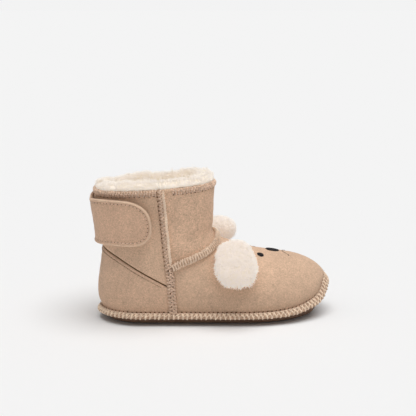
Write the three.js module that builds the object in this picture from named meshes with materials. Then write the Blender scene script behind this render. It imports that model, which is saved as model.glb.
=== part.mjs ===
// Baby bootie with a rear closure: suede and sheepskin, one foot, with ears and a face on the vamp.
// Units are millimetres. +X points to the toe, +Z up, -Y is the outer side of the foot.
// The origin is on the floor, under the middle of the sole.
import * as THREE from "three";
import { mergeVertices } from "three/addons/utils/BufferGeometryUtils.js";

// ---------------------------------------------------------------- driving dimensions
const SUEDE = 1.3; // thickness of the suede panels
const PILE = 4.6; // thickness of the sheepskin linings
const TOE_PILE = 3.4; // the vamp lining thins to this towards the toe
const LAYER_GAP = 0.35; // clearance between two layers
const LINING_OUTER = -(SUEDE + LAYER_GAP); // lining faces, measured from the outside of the suede
const LINING_INNER = LINING_OUTER - PILE;
const COLLAR_BACK = { x: -62.4, z: 68.9 }; // suede edge at the back of the ankle
const COLLAR_FRONT = { x: -0.5, z: 71.9 }; // suede edge at the front of the ankle
const FLEECE_RISE = 4.4; // how far the lining stands above the suede edge
const HEEL_FLAP_GAP = 0.7; // between the heel cup's top edge and the flaps' lower edge
const STITCH_HEIGHT = [LAYER_GAP, 0.8]; // under and upper side of a stitch, above the suede

// ---------------------------------------------------------------- finishes
const cloth = (color) => ({ color, roughness: 0.95 });
const FINISH = {
  outsole: cloth(0xa98a70),
  pad: cloth(0xd8d4cc),
  fleece: cloth(0xebe2d5),
  flapFleece: cloth(0xe0cfbf),
  earFleece: cloth(0xefe6db),
  welt: cloth(0xc9ab8c),
  vamp: cloth(0xc3a38a),
  suede: cloth(0xb79780),
  flap: cloth(0xad8e79),
  sideSeam: cloth(0xbd9f86),
  vampSeam: cloth(0xcbae93),
  backing: cloth(0xa78a72),
  earLeaf: cloth(0xc7aa8e),
  thread: cloth(0xd9c2a8),
  heelThread: cloth(0x9b7a60),
  loopPatch: cloth(0xbfa890),
  hookPatch: { color: 0xcbbba8, roughness: 0.9 },
  face: { color: 0x1c1816, roughness: 0.6 },
};

const SIDES = [["outer", -1], ["inner", 1]]; // name and sign of y
const group = new THREE.Group();
group.name = "baby_bootie";

function add(name, geometry, finish) {
  const mesh = new THREE.Mesh(geometry, new THREE.MeshStandardMaterial(finish));
  mesh.name = name;
  group.add(mesh);
}

// ---------------------------------------------------------------- numeric helpers
const clamp = (value, low = 0, high = 1) => Math.min(high, Math.max(low, value));
const mix = (from, to, share) => from + (to - from) * share;
const signedRoot = (value) => Math.sign(value) * Math.sqrt(Math.abs(value));
const bulge = (share) => Math.sin(Math.PI * clamp(share));

function smooth(value) {
  const share = clamp(value);
  return share * share * (3 - 2 * share);
}

// Superellipse quadrant: 1 at share 0, falling to 0 at share 1.
function roundOff(share, power, root = power) {
  return Math.pow(Math.max(1 - Math.pow(clamp(share), power), 0), 1 / root);
}

// The value between low and high up to which isBelow holds.
function bisect(low, high, isBelow) {
  for (let i = 0; i < 40; i++) {
    const middle = (low + high) / 2;
    if (isBelow(middle)) low = middle;
    else high = middle;
  }
  return (low + high) / 2;
}

// Natural cubic spline through [input, output] points.
function spline(points) {
  const last = points.length - 1;
  const gap = (i) => points[i + 1][0] - points[i][0];
  const slope = (i) => (points[i + 1][1] - points[i][1]) / gap(i);
  const bend = new Array(last + 1).fill(0); // second derivative at each point
  const ratio = [...bend];
  const carried = [...bend];
  for (let i = 1; i < last; i++) {
    const pivot = 2 * (gap(i - 1) + gap(i)) - gap(i - 1) * ratio[i - 1];
    ratio[i] = gap(i) / pivot;
    carried[i] = (6 * (slope(i) - slope(i - 1)) - gap(i - 1) * carried[i - 1]) / pivot;
  }
  for (let i = last - 1; i > 0; i--) bend[i] = carried[i] - ratio[i] * bend[i + 1];
  return (input) => {
    let i = 0;
    while (i < last - 1 && input > points[i + 1][0]) i++;
    const span = gap(i);
    const left = (points[i + 1][0] - input) / span;
    const right = (input - points[i][0]) / span;
    const cubic = (left ** 3 - left) * bend[i] + (right ** 3 - right) * bend[i + 1];
    return left * points[i][1] + right * points[i + 1][1] + (cubic * span * span) / 6;
  };
}

// ---------------------------------------------------------------- sole seam
// Outer edge of the stitched flange, heel tip to toe tip: [x, half breadth, z, inset, rise].
// inset and rise lead from the outer edge to the needle line, where the upper meets the flange.
const FLANGE = [
  [-62.5, 0, 4.0, 2.2, 3.7], [-61.4, 5.6, 4.0, 2.2, 3.7], [-58.6, 11.2, 4.0, 2.2, 3.7],
  [-53.5, 16.6, 4.0, 2.3, 3.7], [-46.6, 20.4, 4.0, 2.4, 3.7], [-36, 22.5, 4.0, 2.4, 3.7],
  [-24, 24.2, 4.0, 2.5, 3.7], [-11.5, 26.1, 4.0, 2.5, 3.7], [2, 28.2, 4.0, 2.6, 3.7],
  [14, 29.7, 4.0, 2.6, 3.7], [23, 29.9, 4.1, 2.6, 3.7], [32, 28.7, 4.3, 2.7, 3.8],
  [40, 26.4, 4.9, 2.8, 3.9], [47.3, 22.9, 6.5, 3.1, 3.8], [52.6, 19.3, 7.9, 3.4, 3.8],
  [55.9, 16, 9.8, 3.5, 4.0], [58.1, 12.8, 11.9, 3.6, 4.2], [59.8, 9.2, 13.9, 3.5, 4.4],
  [61.2, 5, 15.3, 3.4, 4.6], [61.8, 0, 15.7, 3.2, 4.7],
];
const FLAT_NEEDLE_Z = FLANGE[0][2] + FLANGE[0][4]; // needle line where the sole lies flat
const LOOP_OVERLAP = 4; // points repeated past the ends so that the loop closes smoothly

// Closed curve through [x, half breadth, z] rows, by turn:
// 0 and 1 at the heel tip, about 0.5 at the toe tip, the outer side first.
function closedLoop(half) {
  const outer = half.map(([x, y, z]) => [x, -y, z]);
  const ring = [...outer, ...half.slice(1, -1).reverse()];
  const padded = [...ring.slice(-LOOP_OVERLAP), ...ring, ...ring.slice(0, LOOP_OVERLAP + 1)];
  const travel = [0];
  for (let i = 1; i < padded.length; i++) {
    const [x, y, z] = padded[i];
    const [lastX, lastY, lastZ] = padded[i - 1];
    travel.push(travel[i - 1] + Math.hypot(x - lastX, y - lastY, z - lastZ));
  }
  const start = travel[LOOP_OVERLAP];
  const length = travel[LOOP_OVERLAP + ring.length] - start;
  const turns = travel.map((distance) => (distance - start) / length);
  const axes = [0, 1, 2].map((axis) => spline(padded.map((point, i) => [turns[i], point[axis]])));
  return {
    at: (turn) => new THREE.Vector3(...axes.map((axis) => axis(turn - Math.floor(turn)))),
    turnOf: (i) => turns[i + LOOP_OVERLAP],
  };
}

// Unit direction in plan from a loop towards the inside of the foot.
function inward(line, turn, step) {
  const before = line.at(turn - step);
  const after = line.at(turn + step);
  return new THREE.Vector2(before.y - after.y, after.x - before.x).normalize();
}

const edgeLine = closedLoop(FLANGE);
const needleLine = closedLoop(
  FLANGE.map(([x, y, z, inset, rise], i) => {
    const direction = inward(edgeLine, edgeLine.turnOf(i), 1e-3);
    return [x + direction.x * inset, y - direction.y * inset, z + rise];
  }),
);

// Outer half of the needle line, heel to toe: [x, half breadth, z].
const HALF_SAMPLES = 400;
const needleSamples = Array.from({ length: HALF_SAMPLES + 1 }, (_, i) => {
  const point = needleLine.at(i / (2 * HALF_SAMPLES));
  return [point.x, -point.y, point.z];
});
needleSamples[0][1] = 0;
needleSamples[HALF_SAMPLES][1] = 0;
const HEEL_X = needleSamples[0][0];
const TOE_X = needleSamples[HALF_SAMPLES][0];

function needleLookup(x, column) {
  if (x <= HEEL_X) return needleSamples[0][column];
  if (x >= TOE_X) return needleSamples[HALF_SAMPLES][column];
  let low = 0;
  let high = HALF_SAMPLES;
  while (high - low > 1) {
    const middle = (low + high) >> 1;
    if (needleSamples[middle][0] <= x) low = middle;
    else high = middle;
  }
  const before = needleSamples[low];
  const after = needleSamples[high];
  return mix(before[column], after[column], (x - before[0]) / (after[0] - before[0]));
}
const breadth = (x) => needleLookup(x, 1);
const needleZ = (x) => needleLookup(x, 2);

// ---------------------------------------------------------------- outer form
// Top of the vamp, [x, z]. Behind x = 0.4 it is a construction line inside the ankle.
const crest = spline([
  [-70, 110], [-30, 84], [-18, 69], [-10, 57], [-5, 50], [-1, 44.6], [3, 41.0], [7, 39.2],
  [12, 37.4], [17, 35.6], [21.5, 34.4], [26, 33.6], [31, 32.9], [36, 32.0], [41, 31.0],
  [46, 29.6], [50, 28.0], [53.5, 26.0], [56.5, 23.6], [59.2, 20.5],
]);
// Back of the bootie on the centreline, [z, x].
const backX = spline([
  [0, -57.5], [4, -59.3], [7.7, -60.3], [11, -61.2], [14.3, -61.7], [18, -61.6], [22.4, -61.1],
  [30.4, -59.9], [38.3, -58.9], [46, -59.5], [55, -61.0], [64.2, -62.5], [70, -62.4], [80, -62.0],
]);
// Front of the ankle on the centreline, [z, x].
const ankleFrontX = spline([
  [0, 60], [10, 44], [20, 29], [30, 15], [36, 7.6], [40, 3.2], [43, 0.2], [46, -1.6],
  [52, -1.5], [60, -1.1], [72, -0.5], [80, -0.3],
]);
// Half width of the ankle, [z, half width].
const ankleHalf = spline([
  [0, 24.5], [8, 24.0], [20, 23.6], [30, 22.9], [40, 22.3], [50, 22.1], [60, 22.2],
  [72, 22.6], [80, 22.8],
]);
const ANKLE_POWER = 2.35; // superellipse power of the ankle's plan
const BLEND_PIVOT = { x: -0.6, z: 44 }; // vamp and heel forms blend by angle around this point

function vampWidth(x, z) {
  const foot = needleZ(x);
  const share = clamp((z - foot) / Math.max(crest(x) - foot, 1e-6));
  return breadth(x) * roundOff(share, 2.15, 2.05) * (1 + 0.035 * bulge(share * 1.6));
}
function ankleWidth(x, z) {
  const rear = backX(z);
  const front = ankleFrontX(z);
  const share = Math.abs((x - (rear + front) / 2) / ((front - rear) / 2));
  return ankleHalf(z) * roundOff(share, ANKLE_POWER);
}
function heelWidth(x, z) {
  const soleWidth = breadth(Math.min(HEEL_X + (x - backX(z)), 20));
  const cupWidth = soleWidth * (1 + 0.04 * bulge((z - 7) / 24));
  return mix(cupWidth, ankleWidth(x, z), smooth((z - 8) / 30));
}
// Share of the vamp's form in the blend.
function vampShare(x, z) {
  let degrees = (Math.atan2(z - BLEND_PIVOT.z, x - BLEND_PIVOT.x) * 180) / Math.PI;
  if (degrees > 90) degrees -= 360;
  if (degrees <= -10) return smooth((degrees + 165) / 130);
  return x > BLEND_PIVOT.x ? smooth((80 - degrees) / 60) : 0;
}
// Half width of the outside of the bootie at (x, z).
const width = (x, z) => mix(heelWidth(x, z), vampWidth(x, z), vampShare(x, z));
const onSide = (x, z, side) => new THREE.Vector3(x, side * width(x, z), z);

// ---------------------------------------------------------------- seam lines
const SIDE_SEAM_BEND = { x: -26.2, z: 20.3 }; // straight above this point, curved below
function seamX(z) {
  const { x, z: bendZ } = SIDE_SEAM_BEND;
  return z > bendZ ? x - 0.0925 * (z - bendZ) : mix(-24.9, x, smooth((z - 2) / (bendZ - 2)));
}
function collarZ(x) {
  const share = (x - COLLAR_BACK.x) / (COLLAR_FRONT.x - COLLAR_BACK.x);
  return mix(COLLAR_BACK.z, COLLAR_FRONT.z, share);
}
const VAMP_TOP_X = 0.4; // where the vamp seam crosses the centreline
const vampSeamZ = spline([
  [-29, 28.4], [-25.3, 30.3], [-21.2, 32.4], [-16.0, 34.3], [-10.5, 36.3], [-6.4, 38.1],
  [-2.6, 40.3], [-0.6, 42.1], [VAMP_TOP_X, 43.4],
]);
const heelTopZ = spline([
  [-60.5, 39.1], [-58.3, 37.9], [-53.2, 35.3], [-46.1, 31.0], [-36.3, 25.2], [-27.4, 20.3],
  [-22, 17.4],
]);

// Vertical lines of the panels: share 0 at the centre back or front, 1 at the side seam.
const ease = (share) => Math.pow(1 - Math.cos((Math.PI * share) / 2), 1.17);
const rearX = (share, z) => mix(backX(z), seamX(z), ease(share));
const frontX = (share, z) => mix(ankleFrontX(z), seamX(z), ease(share));

// Heights at which those lines cross the heel cup's top edge and the vamp seam.
const heelTopAt = (share) => bisect(8, 66, (z) => z < heelTopZ(rearX(share, z)));
const shaftFootAt = (share) => bisect(20, 60, (z) => z < vampSeamZ(frontX(share, z)));

// ---------------------------------------------------------------- panel surfaces
// Each maps surface coordinates (u, v), both 0..1, to a point on the outside of the bootie.
const SEAM_SHARE = 0.36; // share of the vamp's rear boundary that runs up the side seam
const CORNER_Z = vampSeamZ(seamX(29.5)); // where the side seam meets the vamp seam
const CORNER_X = seamX(CORNER_Z);

// A coordinate that crosses the foot, as its side and its distance from the middle, and back.
function fromMiddle(across) {
  const offset = 2 * across - 1;
  return [offset < 0 ? -1 : 1, Math.abs(offset)];
}
const acrossFoot = (side, share) => (1 + side * share) / 2;

// The vamp's rear boundary as [x, z]: climb 0 at the sole, 1 at the front centre.
function vampRear(climb) {
  if (climb < SEAM_SHARE) {
    const z = mix(needleZ(-25), CORNER_Z, climb / SEAM_SHARE);
    return [seamX(z), z];
  }
  const x = mix(CORNER_X, VAMP_TOP_X, (climb - SEAM_SHARE) / (1 - SEAM_SHARE));
  return [x, vampSeamZ(x)];
}
// Vamp: u from the ankle seams to the toe tip, v from the outer to the inner edge of the sole.
function vampAt(u, v) {
  const [side, offset] = fromMiddle(v);
  const climb = 1 - offset;
  const [rear, rearZ] = vampRear(climb);
  const x = rear + (TOE_X - 0.12 - rear) * Math.sin((Math.PI * u) / 2);
  const rearRise = clamp((rearZ - needleZ(rear)) / (crest(rear) - needleZ(rear)));
  const rearClimb = Math.asin(rearRise) / (Math.PI / 2);
  const height = Math.sin((mix(rearClimb, climb, smooth(u / 0.62)) * Math.PI) / 2);
  return onSide(x, mix(needleZ(x), crest(x), height), side);
}
// Heel cup: u from the outer to the inner side seam, v from the sole to the diagonal top edge.
function heelAt(u, v) {
  const [side, share] = fromMiddle(u);
  const z = mix(needleZ(-50), heelTopAt(share), v);
  return onSide(rearX(share, z), z, side);
}
// Ankle front: u from the outer to the inner side seam, v from the vamp seam to the collar.
const shaftSurface = (rise) => (u, v) => {
  const [side, share] = fromMiddle(u);
  const z = mix(shaftFootAt(share), collarZ(frontX(share, 70)) + rise, v);
  return onSide(frontX(share, z), z, side);
};
// Back flap: u from the centre back to the side seam, v from the heel cup to the collar.
const flapSurface = (side, rise) => (u, v) => {
  const z = mix(heelTopAt(u) + HEEL_FLAP_GAP, collarZ(rearX(u, 69)) + rise, v);
  return onSide(rearX(u, z), z, side);
};
const shaftAt = shaftSurface(0);

// ---------------------------------------------------------------- solids
function normalOf(surface, u, v) {
  const step = 2e-3;
  const alongU = surface(clamp(u + step), v).sub(surface(clamp(u - step), v));
  const alongV = surface(u, clamp(v + step)).sub(surface(u, clamp(v - step)));
  return alongU.cross(alongV).normalize();
}

// Welds the geometry into a closed solid whose faces point outward.
function closedSolid(geometry) {
  for (const key of Object.keys(geometry.attributes)) {
    if (key !== "position") geometry.deleteAttribute(key);
  }
  const solid = mergeVertices(geometry, 1e-4);
  const index = solid.index.array;
  const corner = (i) => new THREE.Vector3().fromBufferAttribute(solid.attributes.position, index[i]);
  let volume = 0;
  for (let i = 0; i < index.length; i += 3) {
    volume += corner(i).dot(corner(i + 1).cross(corner(i + 2)));
  }
  if (volume < 0) {
    for (let i = 0; i < index.length; i += 3) {
      [index[i + 1], index[i + 2]] = [index[i + 2], index[i + 1]];
    }
  }
  solid.computeVertexNormals();
  return solid;
}

// Moves every vertex of a simple body to place(x, y, z).
function reshape(geometry, place) {
  const position = geometry.attributes.position;
  for (let i = 0; i < position.count; i++) {
    const point = place(position.getX(i), position.getY(i), position.getZ(i));
    position.setXYZ(i, point.x, point.y, point.z);
  }
  return closedSolid(geometry);
}

// A sheet of material between two offsets from a surface, each a number or a function of (u, v).
// span is [u0, u1, v0, v1]; sign turns the surface's normal outward; spacing spreads the u steps.
function sheet(surface, [uSegments, vSegments], options) {
  const { inner, outer, span = [0, 1, 0, 1], sign = 1, spacing = (share) => share } = options;
  const body = new THREE.BoxGeometry(1, 1, 1, uSegments, vSegments, 1);
  return reshape(body, (x, y, z) => {
    const u = mix(span[0], span[1], spacing(clamp(x + 0.5)));
    const v = mix(span[2], span[3], clamp(y + 0.5));
    const face = z > 0 ? outer : inner;
    const offset = typeof face === "function" ? face(u, v) : face;
    return surface(u, v).addScaledVector(normalOf(surface, u, v), sign * offset);
  });
}

// A strip of rectangular section: place(share along it, second edge or not, upper face or not).
function strip(segments, place) {
  const body = new THREE.BoxGeometry(1, 1, 1, segments, 1, 1);
  return reshape(body, (x, y, z) => place(clamp(x + 0.5), y > 0, z > 0));
}

// Width direction of a strip that follows pointAt.
function acrossStrip(pointAt, outward, share, step) {
  const direction = pointAt(clamp(share + step)).sub(pointAt(clamp(share - step))).normalize();
  return outward.clone().cross(direction).normalize();
}

// A strip along pointAt, spanning edges [from, to] in width and height [from, to] outward.
function ribbon({ segments, pointAt, outwardAt, edges, height = STITCH_HEIGHT, step = 4e-3 }) {
  return strip(segments, (share, second, upper) => {
    const outward = outwardAt(share);
    return pointAt(share)
      .addScaledVector(acrossStrip(pointAt, outward, share, step), edges[second ? 1 : 0])
      .addScaledVector(outward, height[upper ? 1 : 0]);
  });
}

// A ribbon on a surface, along path(share) = [u, v].
function surfaceRibbon(surface, path, { sign = 1, ...options }) {
  return ribbon({
    pointAt: (share) => surface(...path(share)),
    outwardAt: (share) => normalOf(surface, ...path(share)).multiplyScalar(sign),
    ...options,
  });
}

// ---------------------------------------------------------------- sole
const SOLE_THICK = 1.7;
const SOLE_WALL_Z = FLAT_NEEDLE_Z - 1.3; // top of the turned-up wall, below the needle line
const PAD_BOTTOM = 2.1;
const PAD_TOP = 4.3;
const FOOTBED_BOTTOM = 4.7;
const FOOTBED_TOP = 8.7;
const FOOTBED_CENTRE_TOP = FOOTBED_TOP - 0.4;

// Plan shapes of a plate's rings, each a function of turn that returns [x, y].
const middle = (x) => () => [x, 0];
const insetBy = (inset) => (turn) => {
  const point = needleLine.at(turn);
  const direction = inward(needleLine, turn, 2e-3);
  return [point.x + direction.x * inset, point.y + direction.y * inset];
};
const shrunkBy = (share) => (turn) => {
  const point = needleLine.at(turn);
  return [mix(point.x, -2, share), point.y * (1 - share)];
};
// Each quarter turn gathers in one corner of a small rectangle.
const fourCorners = (turn) => {
  const quarter = Math.floor(4 * (turn - Math.floor(turn)) + 1e-6) % 4;
  return [quarter === 0 || quarter === 3 ? -11 : 11, quarter < 2 ? -8 : 9];
};

// A flat-lying plate, from the middle of its underside round to the middle of its top.
// Each ring is [plan, z, lift]; lift is the share of the toe spring that the ring takes.
function plate(segments, rings) {
  const last = rings.length - 1;
  const profile = rings.map((_, i) => new THREE.Vector2(i === 0 || i === last ? 0 : 10 + i, i));
  return reshape(new THREE.LatheGeometry(profile, segments), (x, y, z) => {
    const [plan, level, lift = 0] = rings[Math.round(y)];
    const turn = Math.atan2(x, z) / (2 * Math.PI);
    const spring = Math.max(0, needleLine.at(turn).z - needleZ(0));
    return new THREE.Vector3(...plan(turn), level + spring * lift);
  });
}

// Flange: upper and sole turned out together and overlocked; a flat ring on the needle line.
function welt() {
  const ringRadius = 50;
  return reshape(new THREE.TorusGeometry(ringRadius, 10, 6, 60), (x, y, z) => {
    const turn = Math.atan2(y, x) / (2 * Math.PI);
    const angle = Math.atan2(z, Math.hypot(x, y) - ringRadius);
    const needle = needleLine.at(turn);
    const across = edgeLine.at(turn).sub(needle);
    const reach = across.length();
    across.normalize();
    const along = edgeLine.at(turn + 2e-3).sub(edgeLine.at(turn - 2e-3)).normalize();
    const upward = across.clone().cross(along).normalize();
    if (upward.z < 0) upward.negate();
    return needle
      .addScaledVector(across, mix(0.5, reach, 0.5 + 0.5 * Math.cos(angle)))
      .addScaledVector(upward, -0.75 + 0.85 * signedRoot(Math.sin(angle)));
  });
}

add("outsole", plate(40, [
  [middle(6), 0],
  [fourCorners, 0],
  [shrunkBy(0.3), 0],
  [insetBy(4.6), 0, 0.12],
  [insetBy(3.0), 1.0, 0.35],
  [insetBy(2.3), SOLE_WALL_Z, 1.0],
  [insetBy(3.9), SOLE_WALL_Z, 1.0],
  [insetBy(4.3), 2.3, 0.45],
  [insetBy(5.2), SOLE_THICK, 0.15],
  [shrunkBy(0.55), SOLE_THICK],
  [middle(0), SOLE_THICK],
]), FINISH.outsole);
add("midsole_pad", plate(32, [
  [middle(0), PAD_BOTTOM],
  [shrunkBy(0.5), PAD_BOTTOM],
  [insetBy(5.8), PAD_BOTTOM, 0.17],
  [insetBy(5.8), PAD_TOP, 0.2],
  [shrunkBy(0.5), PAD_TOP],
  [middle(0), PAD_TOP],
]), FINISH.pad);
add("footbed", plate(32, [
  [middle(0), FOOTBED_BOTTOM],
  [shrunkBy(0.5), FOOTBED_BOTTOM],
  [insetBy(5.2), FOOTBED_BOTTOM, 0.28],
  [insetBy(4.8), FOOTBED_BOTTOM + 2, 0.34],
  [insetBy(5.4), FOOTBED_TOP, 0.36],
  [shrunkBy(0.5), FOOTBED_CENTRE_TOP],
  [middle(0), FOOTBED_CENTRE_TOP],
]), FINISH.fleece);
add("sole_seam_welt", welt(), FINISH.welt);

// ---------------------------------------------------------------- upper, fixed panels
const SUEDE_LAYER = { inner: -SUEDE, outer: 0 };
const LINING_LAYER = { inner: LINING_INNER, outer: LINING_OUTER };

add("vamp", sheet(vampAt, [18, 18], { ...SUEDE_LAYER, span: [0.006, 1, 0, 1] }), FINISH.vamp);
add("vamp_lining", sheet(vampAt, [12, 14], {
  inner: (u) => LINING_OUTER - mix(PILE, TOE_PILE, smooth((u - 0.4) / 0.4)),
  outer: LINING_OUTER,
  span: [0.03, 0.83, 0.055, 0.945],
}), FINISH.fleece);
add("heel_panel", sheet(heelAt, [16, 6], {
  ...SUEDE_LAYER, sign: -1, span: [0.008, 0.992, 0, 1],
}), FINISH.suede);
add("heel_lining", sheet(heelAt, [16, 4], {
  ...LINING_LAYER, sign: -1, span: [0.02, 0.98, 0.14, 0.97],
}), FINISH.fleece);
add("shaft_front", sheet(shaftAt, [16, 7], {
  ...SUEDE_LAYER, span: [0.008, 0.992, 0.02, 1],
}), FINISH.suede);
add("shaft_front_lining", sheet(shaftSurface(FLEECE_RISE), [16, 6], {
  inner: LINING_INNER, outer: LINING_OUTER - 0.15, span: [0.02, 0.98, 0.1, 1],
}), FINISH.fleece);

// ---------------------------------------------------------------- back flaps
const FLAP_START = 0.022; // u of the flap's edge at the centre back
const FLAP_END = 0.985; // u of its edge at the side seam

function addFlap(name, side) {
  const surface = flapSurface(side, 0);
  const sign = -side;
  add(name + "_flap_panel", sheet(surface, [9, 6], {
    ...SUEDE_LAYER, sign, span: [FLAP_START, FLAP_END, 0, 1],
  }), FINISH.flap);
  add(name + "_flap_lining", sheet(flapSurface(side, FLEECE_RISE), [9, 5], {
    ...LINING_LAYER, sign, span: [FLAP_START + 0.03, FLAP_END - 0.01, 0.07, 1],
  }), FINISH.flapFleece);
  const path = (share) => [mix(FLAP_START + 0.01, FLAP_END - 0.015, share), 0.955];
  const stitch = surfaceRibbon(surface, path, { segments: 9, edges: [-1.2, 1.3], sign });
  add(name + "_flap_collar_stitch", stitch, FINISH.thread);
}
for (const [name, side] of SIDES) addFlap(name, side);

// ---------------------------------------------------------------- seams of the upper
const SEAM_BAND = 3.9; // width of the lapped side seam
const VAMP_SEAM_HALF = 3.4 / 2; // half width of the vamp seam
const VAMP_SEAM_CLEAR = 0.4; // its underside above the panels
const VAMP_SEAM_PROUD = 1.9; // its upper side above the panels
const VAMP_SEAM_START_X = seamX(31) + SEAM_BAND + 0.7; // just in front of the side seam's band

// Lapped band that covers the joint between back and front from the sole to the collar.
function sideSeam(side) {
  const surface = (u, v) => {
    const z = mix(8.2, COLLAR_FRONT.z - 1.6, v);
    return onSide(seamX(z) + 0.15 + u * SEAM_BAND, z, side);
  };
  return sheet(surface, [2, 12], { inner: LAYER_GAP, outer: 1.05, sign: -side });
}

function vampSeamPoint(share) {
  const [side, offset] = fromMiddle(share);
  const x = mix(VAMP_TOP_X - 0.02, VAMP_SEAM_START_X, Math.pow(offset, 1.25));
  const point = onSide(x, vampSeamZ(x), side);
  if (offset < 1e-3) point.y = 0;
  return point;
}
// Outward direction of the vamp seam, and the height of its underside over the crease
// between vamp and ankle.
function vampSeamFrame(share) {
  const [side, offset] = fromMiddle(share);
  const { x, z } = vampSeamPoint(share);
  const climb = mix(SEAM_SHARE, 1, (x - CORNER_X) / (VAMP_TOP_X - CORNER_X));
  const shaftShare = bisect(0, 1, (candidate) => frontX(candidate, z) > x);
  const vampNormal = normalOf(vampAt, 0.02, acrossFoot(side, 1 - climb));
  const shaftNormal = normalOf(shaftAt, acrossFoot(side, shaftShare), 0.04);
  if (offset < 1e-3) {
    vampNormal.setY(0).normalize();
    shaftNormal.setY(0).normalize();
  }
  const crease = Math.acos(clamp(vampNormal.dot(shaftNormal), -1, 1));
  return {
    outward: vampNormal.add(shaftNormal).normalize(),
    base: VAMP_SEAM_CLEAR + Math.min(Math.tan(crease / 2), 0.9) * VAMP_SEAM_HALF,
  };
}
function vampSeam() {
  return strip(26, (share, second, upper) => {
    const { outward, base } = vampSeamFrame(share);
    const across = acrossStrip(vampSeamPoint, outward, share, 0.012);
    const offset = (second ? 1 : -1) * VAMP_SEAM_HALF * (upper ? 0.72 : 1);
    const height = upper ? base + VAMP_SEAM_PROUD - VAMP_SEAM_CLEAR : base;
    return vampSeamPoint(share).addScaledVector(across, offset).addScaledVector(outward, height);
  });
}

// Runs 1.8 mm below the heel cup's top edge.
function heelStitchPath(share) {
  const u = mix(0.05, 0.95, share);
  return [u, 1 - 1.8 / (heelTopAt(fromMiddle(u)[1]) - FLAT_NEEDLE_Z)];
}

for (const [name, side] of SIDES) add(name + "_side_seam", sideSeam(side), FINISH.sideSeam);
add("vamp_seam", vampSeam(), FINISH.vampSeam);
add("front_collar_stitch", surfaceRibbon(shaftAt, (share) => [mix(0.075, 0.925, share), 0.955], {
  segments: 16, edges: [-1.3, 1.2],
}), FINISH.thread);
add("heel_edge_stitch", surfaceRibbon(heelAt, heelStitchPath, {
  segments: 20, edges: [-0.45, 0.45], sign: -1,
}), FINISH.heelThread);

// ---------------------------------------------------------------- strap
// One strip that starts at the inner side seam, passes round the back and closes on the outer
// flap, built in two halves that part at the centre back.
const STRAP_HALF = 11.6; // half height
const STRAP_THICK = 1.2;
const BACKING_THICK = 0.8;
const PATCH_THICK = 0.8; // hook patch and loop patch
const STRAP_GAP = 0.3; // between the strap's layers
const STRAP_START = 0.3 / 38; // half the gap between the halves, as a share of a half's length
const BACKING_DEPTH = STRAP_THICK + STRAP_GAP; // backing's outer face below the strap's
const HOOK_DEPTH = BACKING_DEPTH + BACKING_THICK + STRAP_GAP; // the same for the hook patch
const strapMidZ = spline([[0, 52.4], [0.5, 54.4], [0.8, 54.0], [1, 53.4]]);

// reach: end of the half between centre back (0) and side seam (1).
// standOff: distance of the outer face from the flap, attained at share standOffBy.
const TAB = {
  name: "tab", side: -1, segments: 16, reach: 0.893, end: 0.992, backingEnd: 0.985,
  standOff: 4.8, standOffBy: 0.42,
  spacing: (share) => Math.sin((Math.PI * share) / 2) * 0.55 + 0.45 * share,
};
const BASE = {
  name: "base", side: 1, segments: 9, reach: 0.955, end: 1, backingEnd: 1,
  standOff: 2.7, standOffBy: 0.5,
};

// share 0 at the centre back, 1 at the end; v 0 at the lower edge, 1 at the upper edge.
function strapAt(half, share, v, inset = 0) {
  const around = share * half.reach;
  const tip = half === TAB ? roundOff((share - 0.66) / 0.34, 2.7) : 1;
  const z = strapMidZ(around) + (2 * v - 1) * (STRAP_HALF - inset) * tip;
  return onSide(rearX(around, z), z, half.side);
}
// Distance of the outer face from the flaps: loosest at the lower edge of the centre back.
function strapOut(half, share, v) {
  return mix(mix(3.9, 2.9, v), half.standOff, smooth(share / half.standOffBy));
}
function strapLayer(half, { inset = 0, depth, thickness, span }) {
  const surface = (u, v) => strapAt(half, mix(STRAP_START, half.end, u), v, inset);
  const face = (below) => (u, v) => strapOut(half, mix(STRAP_START, 1, u), v) - below;
  return sheet(surface, [half.segments, 4], {
    inner: face(depth + thickness),
    outer: face(depth),
    sign: -half.side,
    spacing: half.spacing,
    span,
  });
}
for (const half of [TAB, BASE]) {
  const name = "strap_" + half.name;
  add(name, strapLayer(half, { depth: 0, thickness: STRAP_THICK }), FINISH.suede);
  add(name + "_backing", strapLayer(half, {
    inset: 0.5,
    depth: BACKING_DEPTH,
    thickness: BACKING_THICK,
    span: [0.006, half.backingEnd, 0, 1],
  }), FINISH.backing);
}

const tabAt = (u, v) => strapAt(TAB, u, v);
const tabOuterAt = (u, v) =>
  tabAt(u, v).addScaledVector(normalOf(tabAt, u, v), strapOut(TAB, u, v));

// Along the upper edge, round the tip and back along the lower edge.
function strapStitchPath(share) {
  if (share < 0.4) return [mix(0.1, 0.8, share / 0.4), 0.92];
  if (share > 0.6) return [mix(0.8, 0.1, (share - 0.6) / 0.4), 0.08];
  const angle = Math.PI * (0.5 - (share - 0.4) / 0.2);
  const reach = Math.sqrt(Math.max(Math.cos(angle), 0));
  return [0.8 + 0.145 * reach, 0.5 + 0.42 * signedRoot(Math.sin(angle))];
}
add("hook_patch", sheet(tabAt, [6, 3], {
  inner: (u) => strapOut(TAB, u, 0.5) - HOOK_DEPTH - PATCH_THICK,
  outer: (u) => strapOut(TAB, u, 0.5) - HOOK_DEPTH,
  span: [0.55, 0.93, 0.16, 0.84],
}), FINISH.hookPatch);
add("loop_patch", sheet(tabAt, [6, 3], {
  inner: STRAP_GAP, outer: STRAP_GAP + PATCH_THICK, span: [0.53, 0.95, 0.13, 0.87],
}), FINISH.loopPatch);
add("strap_edge_stitch", surfaceRibbon(tabOuterAt, strapStitchPath, {
  segments: 40, edges: [-0.4, 0.4], height: [0.3, 0.7],
}), FINISH.thread);

// ---------------------------------------------------------------- ears
// Each ear hangs from a line along X and lies over the side of the vamp:
// a suede leaf with a sheepskin tuft on it.
const EAR_ROOT = { x: 6.6, y: 13.2, z: 40.6 };

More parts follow.
